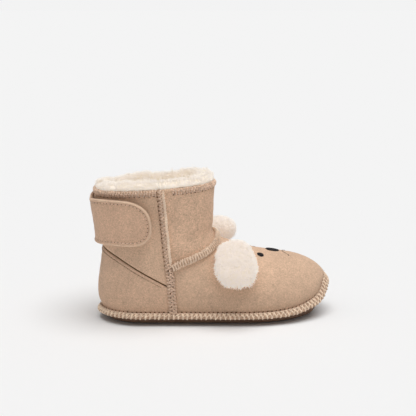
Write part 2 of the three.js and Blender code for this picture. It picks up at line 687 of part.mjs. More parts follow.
function addEar(name, side, lift) {
  const tilted = (y, z) =>
    new THREE.Vector3(0, side * y, z).applyAxisAngle(new THREE.Vector3(1, 0, 0), side * lift);
  const down = tilted(0.63, -0.777);
  const out = tilted(0.777, 0.63);
  const place = (x, hang, proud) =>
    new THREE.Vector3(EAR_ROOT.x + x, side * EAR_ROOT.y, EAR_ROOT.z)
      .addScaledVector(down, hang)
      .addScaledVector(out, proud);
  const tuft = reshape(new THREE.SphereGeometry(1, 14, 10), (x, y, z) =>
    place(11.3 * x * (1 + 0.12 * z), 10.6 + 14.0 * z, 3.4 + (y > 0 ? 6.4 : 1.9) * y));
  const leaf = reshape(new THREE.CylinderGeometry(1, 1, 1, 20, 1), (x, y, z) =>
    place(9.0 * x, 9.6 + 10.6 * z, 0.7 + 0.45 * y));
  add(name + "_ear_fleece", tuft, FINISH.earFleece);
  add(name + "_ear_leaf", leaf, FINISH.earLeaf);
}
addEar("outer", -1, 0);
addEar("inner", 1, 0.44); // turned up by this angle in radians

// ---------------------------------------------------------------- face
// Point of the vamp's upper side over (x, y).
function topAt(x, y) {
  const low = mix(needleZ(x), crest(x), 0.45);
  return new THREE.Vector3(x, y, bisect(low, crest(x), (z) => width(x, z) > Math.abs(y)));
}
function topNormal(x, y) {
  const step = 0.4;
  const alongX = topAt(x + step, y).sub(topAt(x - step, y));
  const alongY = topAt(x, y + step).sub(topAt(x, y - step));
  return alongX.cross(alongY).normalize();
}
// A low oval dome on the vamp.
function dome({ x: centreX, y: centreY, halfX, halfY, height }) {
  return reshape(new THREE.SphereGeometry(1, 14, 8), (x, y, z) => {
    const spot = [centreX + halfX * x, centreY + halfY * z];
    return topAt(...spot).addScaledVector(topNormal(...spot), 0.55 + (y > 0 ? height : 0.2) * y);
  });
}
// Centreline of the mouth from the outer to the inner corner, [x, y].
const MOUTH = [[38.6, -5.8], [37.2, -3.4], [36.2, -1.2], [36.2, 1.2], [37.2, 3.4], [38.6, 5.8]];

function mouth() {
  const line = new THREE.CatmullRomCurve3(MOUTH.map(([x, y]) => new THREE.Vector3(x, y, 0)));
  const onVamp = (find) => (share) => {
    const { x, y } = line.getPoint(share);
    return find(x, y);
  };
  return ribbon({
    segments: 14,
    pointAt: onVamp(topAt),
    outwardAt: onVamp(topNormal),
    edges: [-0.3, 0.3],
    height: [0.35, 0.75],
    step: 0.03,
  });
}

add("nose", dome({ x: 30.9, y: 0, halfX: 3.6, halfY: 4.0, height: 0.9 }), FINISH.face);
for (const [name, side] of SIDES) {
  const eye = dome({ x: 22.5, y: side * 9.3, halfX: 2.0, halfY: 1.9, height: 0.8 });
  add(name + "_eye", eye, FINISH.face);
}
add("mouth_stitch", mouth(), FINISH.face);

export { group as default };
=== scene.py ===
# Suede bootie lined with sheepskin, with a wrap-round strap, two woolly ears and a sewn face.
# It stands on z = 0 with the heel at -X, the toe at +X and the outer side of the foot at -Y.
# Lengths are millimetres; meshes are scaled to metres when they are made.
# Surfaces are functions of u and v, both 0..1, that return points (..., 3).
import math
from functools import cached_property
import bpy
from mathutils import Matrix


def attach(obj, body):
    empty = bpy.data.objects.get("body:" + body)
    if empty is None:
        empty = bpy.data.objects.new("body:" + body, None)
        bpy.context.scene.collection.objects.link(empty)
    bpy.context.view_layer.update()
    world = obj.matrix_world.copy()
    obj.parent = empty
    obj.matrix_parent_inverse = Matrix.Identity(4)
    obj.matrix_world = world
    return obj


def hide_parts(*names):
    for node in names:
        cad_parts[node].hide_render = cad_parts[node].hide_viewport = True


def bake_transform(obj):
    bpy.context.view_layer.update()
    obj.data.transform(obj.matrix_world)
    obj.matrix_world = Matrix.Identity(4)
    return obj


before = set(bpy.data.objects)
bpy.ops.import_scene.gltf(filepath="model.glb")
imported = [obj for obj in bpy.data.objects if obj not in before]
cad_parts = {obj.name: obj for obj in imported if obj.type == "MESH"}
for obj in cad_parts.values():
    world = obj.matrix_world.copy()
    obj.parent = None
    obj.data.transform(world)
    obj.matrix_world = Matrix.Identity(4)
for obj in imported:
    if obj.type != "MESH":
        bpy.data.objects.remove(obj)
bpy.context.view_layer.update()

from types import SimpleNamespace

import bpy
import numpy as np
from mathutils import Vector

RNG = np.random.default_rng(20)
MM = 0.001
UP = np.array([0, 0, 1.0])
SIDES = (("outer", -1), ("inner", 1))  # name and sign of y

SUEDE, PILE, LAYER_GAP = 1.3, 4.6, 0.35  # thickness of hide and fleece, and the gap between
PANEL_ROUND = 0.75  # radius of the panels' rounded edges
COLLAR_BACK_X, COLLAR_LENGTH = -62.4, 61.9
COLLAR_BACK_Z, COLLAR_FRONT_Z = 68.9, 71.9
RIM = 3.3  # height of the pile's base above the suede edge; the fibres stand on it


# ------------------------------------------------------------------ small maths
def smooth(t):
    t = np.clip(t, 0, 1)
    return t * t * (3 - 2 * t)


def mix(a, b, t):
    return a + (b - a) * t


def unit(vectors):
    return vectors / np.maximum(np.linalg.norm(vectors, axis=-1, keepdims=True), 1e-12)


def hill(distance, width):
    """Bell curve, 1 at distance 0."""
    return np.exp(-((distance / width) ** 2))


def signed_pow(value, power):
    return np.sign(value) * np.abs(value) ** power


def superellipse(t, power):
    return np.maximum(1 - np.clip(t, 0, 1) ** power, 0) ** (1 / power)


def jitter(amount, *shape):
    return RNG.uniform(-amount, amount, shape)


def hairs(count):
    return count


def bisect(answer_above, low, high):
    """Elementwise bisection; answer_above(middle) is true where the answer lies higher."""
    for _ in range(34):
        middle = (low + high) / 2
        above = answer_above(middle)
        low, high = np.where(above, middle, low), np.where(above, high, middle)
    return (low + high) / 2


def distances(points):
    """Running length along a polyline (N, 3)."""
    return np.r_[0, np.cumsum(np.linalg.norm(np.diff(points, axis=0), axis=1))]


def lattice_value(i, j, k, seed):
    bits = (i * 374761393 + j * 668265263 + k * 2147483647 + seed * 974634777) & 0xFFFFFFFF
    bits = ((bits ^ (bits >> 13)) * 1274126177) & 0xFFFFFFFF
    bits = ((bits ^ (bits >> 16)) * 2246822519) & 0xFFFFFFFF
    return ((bits ^ (bits >> 13)) & 0xFFFFFF) / float(0xFFFFFF) * 2 - 1


def noise(points, size, seed=0):
    """Value noise in -1..1 with features of about size millimetres."""
    scaled_points = np.asarray(points) / size
    cell = np.floor(scaled_points).astype(np.int64)
    part = scaled_points - cell
    part = part * part * (3 - 2 * part)
    total = 0
    for corner in np.ndindex(2, 2, 2):
        weight = np.prod(np.where(corner, part, 1 - part), axis=-1)
        total = total + weight * lattice_value(*np.moveaxis(cell + corner, -1, 0), seed)
    return total


def fractal(points, size, seed, octaves=3):
    return sum(
        0.5**k * noise(points, size / 2**k, seed + 17 * k) for k in range(octaves)
    ) / 1.75


class Spline:
    """Natural cubic spline through scalar or vector values."""

    def __init__(self, xs, ys):
        self.x, self.y = np.array(xs, float), np.array(ys, float)
        count, step, slope = len(self.x), np.diff(self.x), np.diff(self.y, axis=0)
        system, right = np.zeros((count, count)), np.zeros(self.y.shape)
        system[0, 0] = system[-1, -1] = 1
        for i in range(1, count - 1):
            before, after = step[i - 1], step[i]
            system[i, i - 1 : i + 2] = before, 2 * (before + after), after
            right[i] = 6 * (slope[i] / after - slope[i - 1] / before)
        self.curve = np.linalg.solve(system, right)

    def __call__(self, t):
        t = np.asarray(t, float)
        i = np.clip(np.searchsorted(self.x, t, side="right") - 1, 0, len(self.x) - 2)
        step = self.x[i + 1] - self.x[i]
        a, b = (self.x[i + 1] - t) / step, (t - self.x[i]) / step
        if self.y.ndim > 1:
            a, b, step = a[..., None], b[..., None], step[..., None]
        bend = (a**3 - a) * self.curve[i] + (b**3 - b) * self.curve[i + 1]
        return a * self.y[i] + b * self.y[i + 1] + bend * step * step / 6


class ClosedLoop:
    """Closed curve: 0 and 1 at the heel tip, 0.5 at the toe tip, the outer side first."""

    def __init__(self, half):
        half = np.array(half, float)
        full = np.vstack([half * [1, -1, 1], half[1:-1][::-1]])
        run = distances(np.vstack([full[-4:], full, full[:5]]))
        places = (run - run[4]) / (run[4 + len(full)] - run[4])
        self.stations = places[4:]
        self.spline = Spline(places, np.vstack([full[-4:], full, full[:5]]))

    def __call__(self, t):
        return self.spline(np.mod(t, 1.0))


# ------------------------------------------------------------------ outlines
# Half of the sole flange: x, y, z of its outer edge, inset and rise of the needle line from it
FLANGE = [
    (-62.5, 0, 4.0, 2.2, 2.8), (-61.4, 5.6, 4.0, 2.2, 2.8), (-58.6, 11.2, 4.0, 2.2, 2.8),
    (-53.5, 16.6, 4.0, 2.3, 2.8), (-46.6, 20.4, 4.0, 2.4, 2.8), (-36, 22.5, 4.0, 2.4, 2.8),
    (-24, 24.2, 4.0, 2.5, 2.8), (-11.5, 26.1, 4.0, 2.5, 2.8), (2, 28.2, 4.0, 2.6, 2.8),
    (14, 29.7, 4.0, 2.6, 2.8), (23, 29.9, 4.1, 2.6, 2.8), (32, 28.7, 4.3, 2.7, 3.0),
    (40, 26.4, 4.9, 2.8, 3.2), (47.3, 22.9, 6.5, 3.1, 3.4), (52.6, 19.3, 7.9, 3.4, 3.7),
    (55.9, 16, 9.8, 3.5, 4.0), (58.1, 12.8, 11.9, 3.6, 4.2), (59.8, 9.2, 13.9, 3.5, 4.4),
    (61.2, 5, 15.3, 3.4, 4.6), (61.8, 0, 15.7, 3.2, 4.7),
]
flange_edge = ClosedLoop([row[:3] for row in FLANGE])


def inset_loop():
    points = []
    for (x, y, z, inset, rise), t in zip(FLANGE, flange_edge.stations):
        ahead = flange_edge(t + 1e-3) - flange_edge(t - 1e-3)
        length = math.hypot(ahead[0], ahead[1])
        points.append((x - ahead[1] / length * inset, y - ahead[0] / length * inset, z + rise))
    return ClosedLoop(points)


needle_loop = inset_loop()
HALF_NEEDLE = needle_loop(np.linspace(0, 0.5, 801))
HALF_NEEDLE[:, 1] *= -1
HALF_NEEDLE[0, 1] = HALF_NEEDLE[-1, 1] = 0
X_HEEL, X_TOE = HALF_NEEDLE[0, 0], HALF_NEEDLE[-1, 0]


def breadth(x):
    return np.interp(x, HALF_NEEDLE[:, 0], HALF_NEEDLE[:, 1])


def needle_z(x):
    return np.interp(x, HALF_NEEDLE[:, 0], HALF_NEEDLE[:, 2])


# Side view outlines: crest is the vamp's top z over x; back and front give x over z
crest = Spline(
    [-70, -30, -18, -10, -5, -1, 3, 7, 12, 17,
     21.5, 26, 31, 36, 41, 46, 50, 53.5, 56.5, 59.2],
    [110, 84, 69, 57, 50, 44.6, 41.0, 39.2, 37.4, 35.6,
     34.4, 33.6, 32.9, 32.0, 31.0, 29.6, 28.0, 26.0, 23.6, 20.5],
)
back = Spline(
    [0, 4, 7.7, 11, 14.3, 18, 22.4, 30.4, 38.3, 46, 55, 64.2, 70, 80],
    [-57.5, -59.3, -60.3, -61.2, -61.7, -61.6, -61.1,
     -59.9, -58.9, -59.5, -61.0, -62.5, -62.4, -62.0],
)
front = Spline(
    [0, 10, 20, 30, 36, 40, 43, 46, 52, 60, 72, 80],
    [60, 44, 29, 15, 7.6, 3.2, 0.2, -1.6, -1.5, -1.1, -0.5, -0.3],
)
# Half width of the shaft over z
ankle_half = Spline(
    [0, 8, 20, 30, 40, 50, 60, 72, 80],
    [24.5, 24.0, 23.6, 22.9, 22.3, 22.1, 22.2, 22.6, 22.8],
)
# Heights over x of the seam between vamp and shaft, and of the heel panel's top edge
vamp_seam_z = Spline(
    [-29, -25.3, -21.2, -16.0, -10.5, -6.4, -2.6, -0.6, 0.4],
    [28.4, 30.3, 32.4, 34.3, 36.3, 38.1, 40.3, 42.1, 43.4],
)
heel_top_z = Spline(
    [-60.5, -58.3, -53.2, -46.1, -36.3, -27.4, -22],
    [39.1, 37.9, 35.3, 31.0, 25.2, 20.3, 17.4],
)
# Height of the fleece base over x relative to RIM, on the inner and the outer side
rim_inner = Spline(
    [-66, -62, -55, -47, -40, -32, -24, -12, -7, 0, 4],
    [-0.8, -1.0, -2.0, -2.3, -1.2, -1.4, -2.0, -0.9, -0.4, 0, 0],
)
rim_outer = Spline(
    [-66, -62, -55, -47, -30, -14, 0, 4],
    [-0.8, -1.0, -0.5, -0.2, -0.1, -0.1, 0, 0],
)


def rim_of(x, inner):
    """Height of the pile's base above the suede edge."""
    return RIM + np.where(inner, rim_inner(x), rim_outer(x))


# ------------------------------------------------------------------ surfaces
ANKLE_POWER = 2.35  # squareness of the shaft's oval
PIVOT_X, PIVOT_Z = -0.6, 44  # the vamp and heel shapes blend by angle about this point


def vamp_width(x, z):
    base = needle_z(x)
    t = np.clip((z - base) / np.maximum(crest(x) - base, 1e-6), 0, 1)
    arch = np.maximum(1 - t**2.15, 0) ** (1 / 2.05)
    return breadth(x) * arch * (1 + 0.035 * np.sin(np.pi * np.clip(t * 1.6, 0, 1)))


def oval_width(x, z):
    rear, fore = back(z), front(z)
    offset = np.abs((x - (rear + fore) / 2) / ((fore - rear) / 2))
    return ankle_half(z) * superellipse(offset, ANKLE_POWER)


def heel_width(x, z):
    base = breadth(np.minimum(X_HEEL + (x - back(z)), 20))
    t = smooth((z - 8) / 30)
    swell = 1 + 0.04 * np.sin(np.pi * np.clip((z - 7) / 24, 0, 1))
    return (1 - t) * base * swell + t * oval_width(x, z)


def width(x, z):
    """Half width of the boot at x, z."""
    x, z = np.asarray(x, float), np.asarray(z, float)
    angle = np.degrees(np.arctan2(z - PIVOT_Z, x - PIVOT_X))
    angle = np.where(angle > 90, angle - 360, angle)
    upper = np.where(x > PIVOT_X, smooth((80 - angle) / 60), 0)
    share = np.where(angle > -10, upper, smooth((angle + 165) / 130))
    return share * vamp_width(x, z) + (1 - share) * heel_width(x, z)


def on_side(x, z, side):
    x, z = np.broadcast_arrays(np.asarray(x, float), np.asarray(z, float))
    return np.stack([x, side * width(x, z), z], -1)


def seam_x(z):
    """Line of the side seams."""
    z = np.asarray(z, float)
    low = mix(-24.9, -26.2, smooth((z - 2) / 18.3))
    return np.where(z > 20.3, -26.2 - 0.0925 * (z - 20.3), low)


def collar_z(x):
    share = (np.asarray(x) - COLLAR_BACK_X) / COLLAR_LENGTH
    return COLLAR_BACK_Z + share * (COLLAR_FRONT_Z - COLLAR_BACK_Z)


def ease(q):
    return (1 - np.cos(np.pi * q / 2)) ** 1.17


def rear_x(q, z):
    """x from the centre back (q = 0) to the side seam (q = 1)."""
    return back(z) + (seam_x(z) - back(z)) * ease(q)


def front_x(q, z):
    """x from the centre front (q = 0) to the side seam (q = 1)."""
    return front(z) - (front(z) - seam_x(z)) * ease(q)


def heel_top(q):
    return bisect(
        lambda z: z < heel_top_z(rear_x(q, z)), np.full(q.shape, 8.0), np.full(q.shape, 66.0)
    )


def from_centre(u):
    """Distance 0..1 from the centre line and the sign of the side."""
    across = 2 * u - 1
    return np.abs(across), np.where(across < 0, -1.0, 1.0)


def pair(u, v):
    return np.broadcast_arrays(np.asarray(u, float), np.asarray(v, float))


SEAM_SHARE = 0.36  # share of each half of the vamp's rear edge that runs up the side seam
CORNER_Z = float(vamp_seam_z(seam_x(29.5)))


def vamp_at(u, v):
    """u from the rear edge to the toe, v from the outer needle line over to the inner one."""
    u, v = pair(u, v)
    across, side = from_centre(v)
    rise = 1 - across
    low_z = mix(needle_z(-25.0), CORNER_Z, np.clip(rise / SEAM_SHARE, 0, 1))
    along_seam = np.clip((rise - SEAM_SHARE) / (1 - SEAM_SHARE), 0, 1)
    high_x = mix(seam_x(CORNER_Z), 0.4, along_seam)
    rear_edge_x = np.where(rise < SEAM_SHARE, seam_x(low_z), high_x)
    rear_edge_z = np.where(rise < SEAM_SHARE, low_z, vamp_seam_z(high_x))
    x = rear_edge_x + (X_TOE - 0.12 - rear_edge_x) * np.sin(np.pi * u / 2)
    base = needle_z(rear_edge_x)
    level = np.clip((rear_edge_z - base) / (crest(rear_edge_x) - base), 0, 1)
    share = mix(np.arcsin(level) / (np.pi / 2), rise, smooth(u / 0.62))
    z = needle_z(x) + (crest(x) - needle_z(x)) * np.sin(share * np.pi / 2)
    return on_side(x, z, side)


def heel_at(u, v, low=None):
    """u round the heel from the outer to the inner side, v upwards."""
    u, v = pair(u, v)
    q, side = from_centre(u)
    z = mix(needle_z(-50.0) if low is None else low, heel_top(q), v)
    return on_side(rear_x(q, z), z, side)


def shaft_at(u, v, rise=0.0):
    """u round the shaft's front from the outer to the inner side, v upwards."""
    u, v = pair(u, v)
    q, side = from_centre(u)
    low = bisect(
        lambda z: z < vamp_seam_z(front_x(q, z)), np.full(q.shape, 20.0), np.full(q.shape, 60.0)
    )
    z = mix(low, collar_z(front_x(q, 70.0)) + rise, v)
    return on_side(front_x(q, z), z, side)


def flap_at(u, v, side, rise=0.0):
    """u from the centre back to the side seam, v upwards from just above the heel panel."""
    u, v = pair(u, v)
    z = mix(heel_top(u) + 0.7, collar_z(rear_x(u, 69.0)) + rise, v)
    return on_side(rear_x(u, z), z, side)


strap_mid = Spline([0, 0.5, 0.8, 1], [52.4, 54.4, 54.0, 53.4])
STRAP_TIP_Q, STRAP_ROOT_Q, STRAP_HALF = 0.893, 0.955, 11.6
TIP_START, TIP_POWER = 0.735, 2.5  # where the strap starts to round off, and how squarely


def strap_half(s, inset=0.0):
    tip = superellipse((np.abs(s) - TIP_START) / (1 - TIP_START), TIP_POWER)
    return (STRAP_HALF - inset) * np.where(s > 0, tip, 1.0)


def strap_at(s, w, inset=0.0):
    """s is -1 at the root on the inner side, 0 at the centre back and 1 at the tip;
    w is -1 at the lower edge and 1 at the upper edge."""
    s, w = pair(s, w)
    q = np.abs(s) * np.where(s > 0, STRAP_TIP_Q, STRAP_ROOT_Q)
    z = strap_mid(q) + w * strap_half(s, inset)
    return on_side(rear_x(q, z), z, np.where(s > 0, -1, 1))


def strap_uv(u, v):
    return strap_at(2 * u - 1, 2 * v - 1)


def strap_out(s, w):
    """Offset of the strap's outer face from the boot surface."""
    rear = mix(3.6, 2.1, (w + 1) / 2)
    reach = np.abs(s)
    tab = mix(rear, 4.8, smooth(reach / 0.42))
    return np.where(s > 0, tab, mix(rear, 2.7, smooth(reach / 0.5)))


def normal_of(surface, u, v):
    step = 2e-3
    u, v = pair(u, v)
    du = surface(np.clip(u + step, 0, 1), v) - surface(np.clip(u - step, 0, 1), v)
    dv = surface(u, np.clip(v + step, 0, 1)) - surface(u, np.clip(v - step, 0, 1))
    return unit(np.cross(du, dv))


# ------------------------------------------------------------------ mesh builders
# A mesh is (verts, faces): points in millimetres and a list of index arrays (count, sides).
def make(name, mesh, material, shade=None):
    verts, faces = mesh
    loops = np.concatenate([f.ravel() for f in faces]).astype(np.int32)
    totals = np.concatenate([np.full(len(f), f.shape[1]) for f in faces]).astype(np.int32)
    starts = np.r_[0, np.cumsum(totals)[:-1]].astype(np.int32)
    data = bpy.data.meshes.new(name)
    data.vertices.add(len(verts))
    data.vertices.foreach_set("co", (np.asarray(verts, float) * MM).astype(np.float32).ravel())
    data.loops.add(len(loops))
    data.loops.foreach_set("vertex_index", loops)
    data.polygons.add(len(starts))
    data.polygons.foreach_set("loop_start", starts)
    data.polygons.foreach_set("loop_total", totals)
    data.polygons.foreach_set("use_smooth", [True] * len(starts))
    data.update(calc_edges=True)
    data.validate()
    if shade is not None:
        attribute = data.attributes.new("shade", "FLOAT", "POINT")
        attribute.data.foreach_set("value", np.asarray(shade, np.float32))
    obj = bpy.data.objects.new(name, data)
    bpy.context.scene.collection.objects.link(obj)
    data.materials.append(material)
    return obj


def add(name, mesh, material, slot, *nodes, body="upper", hinge=None, shade=None):
    """Make a piece that rides on a body; a piece given a hinge (body, body, start, end) rides on
    no body and stays where it is made.
    """
    obj = make(name, mesh, material, shade)
    if hinge:
        moving, fixed, start, end = hinge
        tuple(x * MM for x in start)
        tuple(x * MM for x in end)
        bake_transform(obj)
    else:
        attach(obj, body)
    if nodes:
        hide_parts(*nodes)


def merge(parts):
    verts, faces, base = [], [], 0
    for part_verts, part_faces in parts:
        verts.append(part_verts)
        faces += [f + base for f in part_faces]
        base += len(part_verts)
    return np.vstack(verts), faces


def outward(verts, faces):
    """Turn a closed body's faces to look out."""
    volume = 0.0
    for f in faces:
        for k in range(1, f.shape[1] - 1):
            cross = np.cross(verts[f[:, k]], verts[f[:, k + 1]])
            volume += np.einsum("ij,ij->i", verts[f[:, 0]], cross).sum()
    return faces if volume > 0 else [f[:, ::-1] for f in faces]


def grid_faces(rows, cols, wrap_rows=False, wrap_cols=False):
    i = np.arange(rows if wrap_rows else rows - 1)[:, None]
    j = np.arange(cols if wrap_cols else cols - 1)[None]
    i2, j2 = (i + 1) % rows, (j + 1) % cols
    corners = [i * cols + j, i2 * cols + j, i2 * cols + j2, i * cols + j2]
    return np.stack(corners, -1).reshape(-1, 4)


def border(rows, cols):
    """Vertex indices round the edge of a grid."""
    return np.r_[
        np.arange(cols),
        np.arange(1, rows) * cols + cols - 1,
        (rows - 1) * cols + np.arange(cols - 2, -1, -1),
        np.arange(rows - 2, 0, -1) * cols,
    ]


def closed_tube(rings):
    """Tube through rings (count, sides, 3), capped at both ends."""
    count, sides = rings.shape[:2]
    verts, around = rings.reshape(-1, 3), np.arange(sides)
    caps = np.stack([around[::-1], (count - 1) * sides + around])
    return verts, outward(verts, [grid_faces(count, sides, wrap_cols=True), caps])


def disc(top, bottom):
    """Closed disc from two polar grids (rings from the middle outwards, cols, 3)."""
    rings, cols = top.shape[:2]
    half = rings * cols
    faces = grid_faces(rings, cols, wrap_cols=True)
    start = np.arange(cols)
    edge = half - cols + start
    edge2 = half - cols + (start + 1) % cols
    side = np.stack([edge + half, edge2 + half, edge2, edge], -1)
    caps = [start[None], half + start[None, ::-1]]
    verts = np.vstack([top.reshape(-1, 3), bottom.reshape(-1, 3)])
    return verts, [faces, faces[:, ::-1] + half, side, *caps]


def polar(radii, cols):
    return np.meshgrid(radii, np.arange(cols) / cols * 2 * np.pi, indexing="ij")


def spaced(count, length, radius, low, high):
    """0..1 in even steps, with extra ones near the ends that get rounded."""
    extra = np.array([0.06, 0.25, 0.6, 1.0]) * radius / length
    t = np.linspace(0, 1, count + 1)
    inside = np.ones(len(t), bool)
    if low:
        inside &= t > extra[-1] * 1.3
    if high:
        inside &= t < 1 - extra[-1] * 1.3
    t = t[inside]
    if low:
        t = np.r_[0, extra, t]
    if high:
        t = np.r_[t, 1 - extra[::-1], 1]
    return t


def value_at(amount, u, v):
    return amount(u, v) if callable(amount) else np.full(u.shape, float(amount))


def shell(
    surface, outer, thick, radius, counts=None, span=(0, 1, 0, 1), sign=1, relief=None,
    rounds=(1, 1, 1, 1), grid=None, distance=None, square=None,
):
    """A closed sheet on a surface; returns its mesh and its outer points, normals, u and v.

    The outer face lies at offset `outer` along sign times the normal, plus relief(points, u, v).
    rounds: which of the edges u0, u1, v0, v1 are rounded; distance(u, v) from the outline
    replaces them. square(points): share of the rounding to leave out.
    """
    u0, u1, v0, v1 = span
    length_u = distances(surface(np.linspace(u0, u1, 40), (v0 + v1) / 2))[-1]
    length_v = distances(surface((u0 + u1) / 2, np.linspace(v0, v1, 40)))[-1]
    if grid is None:
        grid = np.meshgrid(
            spaced(counts[0], length_u, radius, *rounds[:2]),
            spaced(counts[1], length_v, radius, *rounds[2:]),
            indexing="ij",
        )
    s, t = grid
    u, v = mix(u0, u1, s), mix(v0, v1, t)
    points, normals = surface(u, v), normal_of(surface, u, v) * sign

    def rounding(gap):
        return np.sqrt(np.maximum(1 - (1 - np.clip(gap / radius, 0, 1)) ** 2, 0))

    if distance is None:
        gaps = (s * length_u, (1 - s) * length_u, t * length_v, (1 - t) * length_v)
        gaps = [np.where(on, gap, 99.0) for on, gap in zip(rounds, gaps)]
        height = rounding(np.minimum(*gaps[:2])) * rounding(np.minimum(*gaps[2:]))
    else:
        height = rounding(distance(u, v))
    height = np.maximum(height, 0.12)
    if square is not None:
        height = mix(height, 1.0, square(points))
    thickness = value_at(thick, u, v)
    middle = value_at(outer, u, v) - thickness / 2
    bumps = relief(points, u, v) if relief is not None else 0.0
    half = height * thickness / 2
    outer_face = points + normals * (middle + half + bumps * height)[..., None]
    inner_face = points + normals * (middle - half)[..., None]
    rows, cols = s.shape
    count = rows * cols
    ring = border(rows, cols)
    after = np.roll(ring, -1)
    face = grid_faces(rows, cols)
    side = np.stack([ring + count, after + count, after, ring], -1)
    faces = [face, face[:, ::-1] + count, side]
    if sign < 0:
        faces = [f[:, ::-1] for f in faces]
    verts = np.vstack([outer_face.reshape(-1, 3), inner_face.reshape(-1, 3)])
    return (verts, faces), (outer_face, normals, u, v)


def catmull(controls, count):
    """Control points (M, C, 3) to smooth paths (M, count, 3)."""
    first = 2 * controls[:, :1] - controls[:, 1:2]
    last = 2 * controls[:, -1:] - controls[:, -2:-1]
    controls = np.concatenate([first, controls, last], 1)
    t = np.linspace(0, controls.shape[1] - 3 - 1e-9, count)
    i = np.floor(t).astype(int)
    f = (t - i)[None, :, None]
    p0, p1, p2, p3 = (controls[:, i + j] for j in range(4))
    square, cube = 2 * p0 - 5 * p1 + 4 * p2 - p3, 3 * p1 - p0 - 3 * p2 + p3
    return 0.5 * (2 * p1 + (p2 - p0) * f + square * f**2 + cube * f**3)


def tube(paths, up, radius, sides=6):
    """Closed tubes along paths (M, K, 3), with radius (K,) or (M, K)."""
    count, steps, _ = paths.shape
    ahead = unit(np.gradient(paths, axis=1))
    across = unit(np.cross(ahead, up))
    normal = np.cross(across, ahead)
    radius = np.broadcast_to(radius, (count, steps))[..., None, None]
    angle = (np.arange(sides) / sides * 2 * np.pi)[None, None, :, None]
    round_ = np.cos(angle) * normal[:, :, None] + np.sin(angle) * across[:, :, None]
    rings = paths[:, :, None] + radius * round_
    quads = grid_faces(steps, sides, wrap_cols=True)[:, [0, 3, 2, 1]]
    j = np.arange(sides)
    caps = np.vstack([j[::-1], (steps - 1) * sides + j])
    base = (np.arange(count) * steps * sides)[:, None, None]
    return rings.reshape(-1, 3), [
        (quads[None] + base).reshape(-1, 4), (caps[None] + base).reshape(-1, sides)
    ]


def tubes(*parts):
    return merge([tube(*part) for part in parts])


def taper(count, radius):
    t = np.linspace(0, 1, count)
    return radius * np.clip(np.minimum(t, 1 - t) * 9 + 0.35, 0, 1)


def overlock(holes, rim, out, lean, stand, depth, radius, wander, crown, closed=False):
    """Thread loops from the needle holes over the rim and round to the back.

    out: outward normals; lean: shift along the seam; stand: height over the surface;
    depth: how far down the loops reach behind; crown: extra height in the middle.
    """
    count = len(holes)
    over = unit(rim - holes)
    if closed:
        ahead = unit(np.roll(holes, -1, 0) - np.roll(holes, 1, 0))
    else:
        ahead = unit(np.gradient(holes, axis=0))
    rim = rim + ahead * np.reshape(lean, (-1, 1))
    controls = [
        holes - out * 0.5,
        holes + over * 0.25 + out * (stand * 0.8) + ahead * jitter(wander, count, 1),
        holes + (rim - holes) * 0.55 + out * (stand + crown * 0.5)
        + ahead * jitter(wander, count, 1),
        rim - over * 0.15 + out * stand + ahead * jitter(wander, count, 1),
        rim + over * 0.3 - out * (depth * 0.45),
        rim - over * 0.35 - out * (depth + 0.1),
    ]
    radius = np.asarray(radius, float).reshape(-1, 1) * (1 + jitter(0.12, count, 1))
    return catmull(np.stack(controls, 1), 12), (out + over * 0.3)[:, None], taper(12, 1.0) * radius


def lens(points, normals, radius, height):
    """Small closed discs, domed on both faces."""
    count, sides = len(points), 8
    reference = np.where(np.abs(normals[:, 2:3]) > 0.9, [[1.0, 0, 0]], [[0, 0, 1.0]])
    across = unit(np.cross(normals, reference))
    along_ = np.cross(normals, across)
    angle = (np.arange(sides) / sides * 2 * np.pi)[None, :, None]
    radius = np.broadcast_to(np.asarray(radius, float).reshape(-1, 1, 1), (count, 1, 1))
    round_ = np.cos(angle) * across[:, None] + np.sin(angle) * along_[:, None]
    top, bottom = (points + normals * height)[:, None], (points - normals * height)[:, None]
    verts = np.concatenate([points[:, None] + radius * round_, top, bottom], 1)
    j = np.arange(sides)
    j2 = (j + 1) % sides
    upper = np.stack([j, j2, np.full(sides, sides)], -1)
    lower = np.stack([j2, j, np.full(sides, sides + 1)], -1)
    base = (np.arange(count) * (sides + 2))[:, None, None]
    return verts.reshape(-1, 3), [(np.vstack([upper, lower])[None] + base).reshape(-1, 3)]


# painted shade: dark discs for the shade inside the needle holes
def add_holes(name, points, normals, radius, height, **place):
    add(name, lens(points, normals, radius, height), HOLE_SHADE, "shadow_thread", **place)


def along(points, pitch, offset=0.5):
    """Parameters 0..1 of evenly spaced points along a polyline (N, 3)."""
    run = distances(points)
    count = max(2, int(round(run[-1] / pitch)))
    return np.interp(
        (np.arange(count) + offset) / count * run[-1], run, np.linspace(0, 1, len(points))
    )


def sample(values, t):
    """Vectors at parameters t of the polyline values."""
    x = np.linspace(0, 1, len(values))
    return np.stack([np.interp(t, x, values[:, k]) for k in range(3)], -1)


def running(path, normal, pitch, radius, gap=0.22, lift=0.12):
    """Straight stitches along a polyline; returns the thread, the hole points and normals."""
    t = along(path, pitch, offset=0.0)
    normals, holes = unit(sample(normal, t)), sample(path, t)
    start, end, out, out2 = holes[:-1], holes[1:], normals[:-1], normals[1:]
    step = end - start
    controls = [
        start + step * gap * 0.4 - out * 0.35,
        start + step * gap + out * (lift * 0.6),
        start + step * 0.5 + (out + out2) / 2 * lift,
        end - step * gap + out2 * (lift * 0.6),
        end - step * gap * 0.4 - out2 * 0.35,
    ]
    return (catmull(np.stack(controls, 1), 9), out[:, None], taper(9, radius)), holes, normals


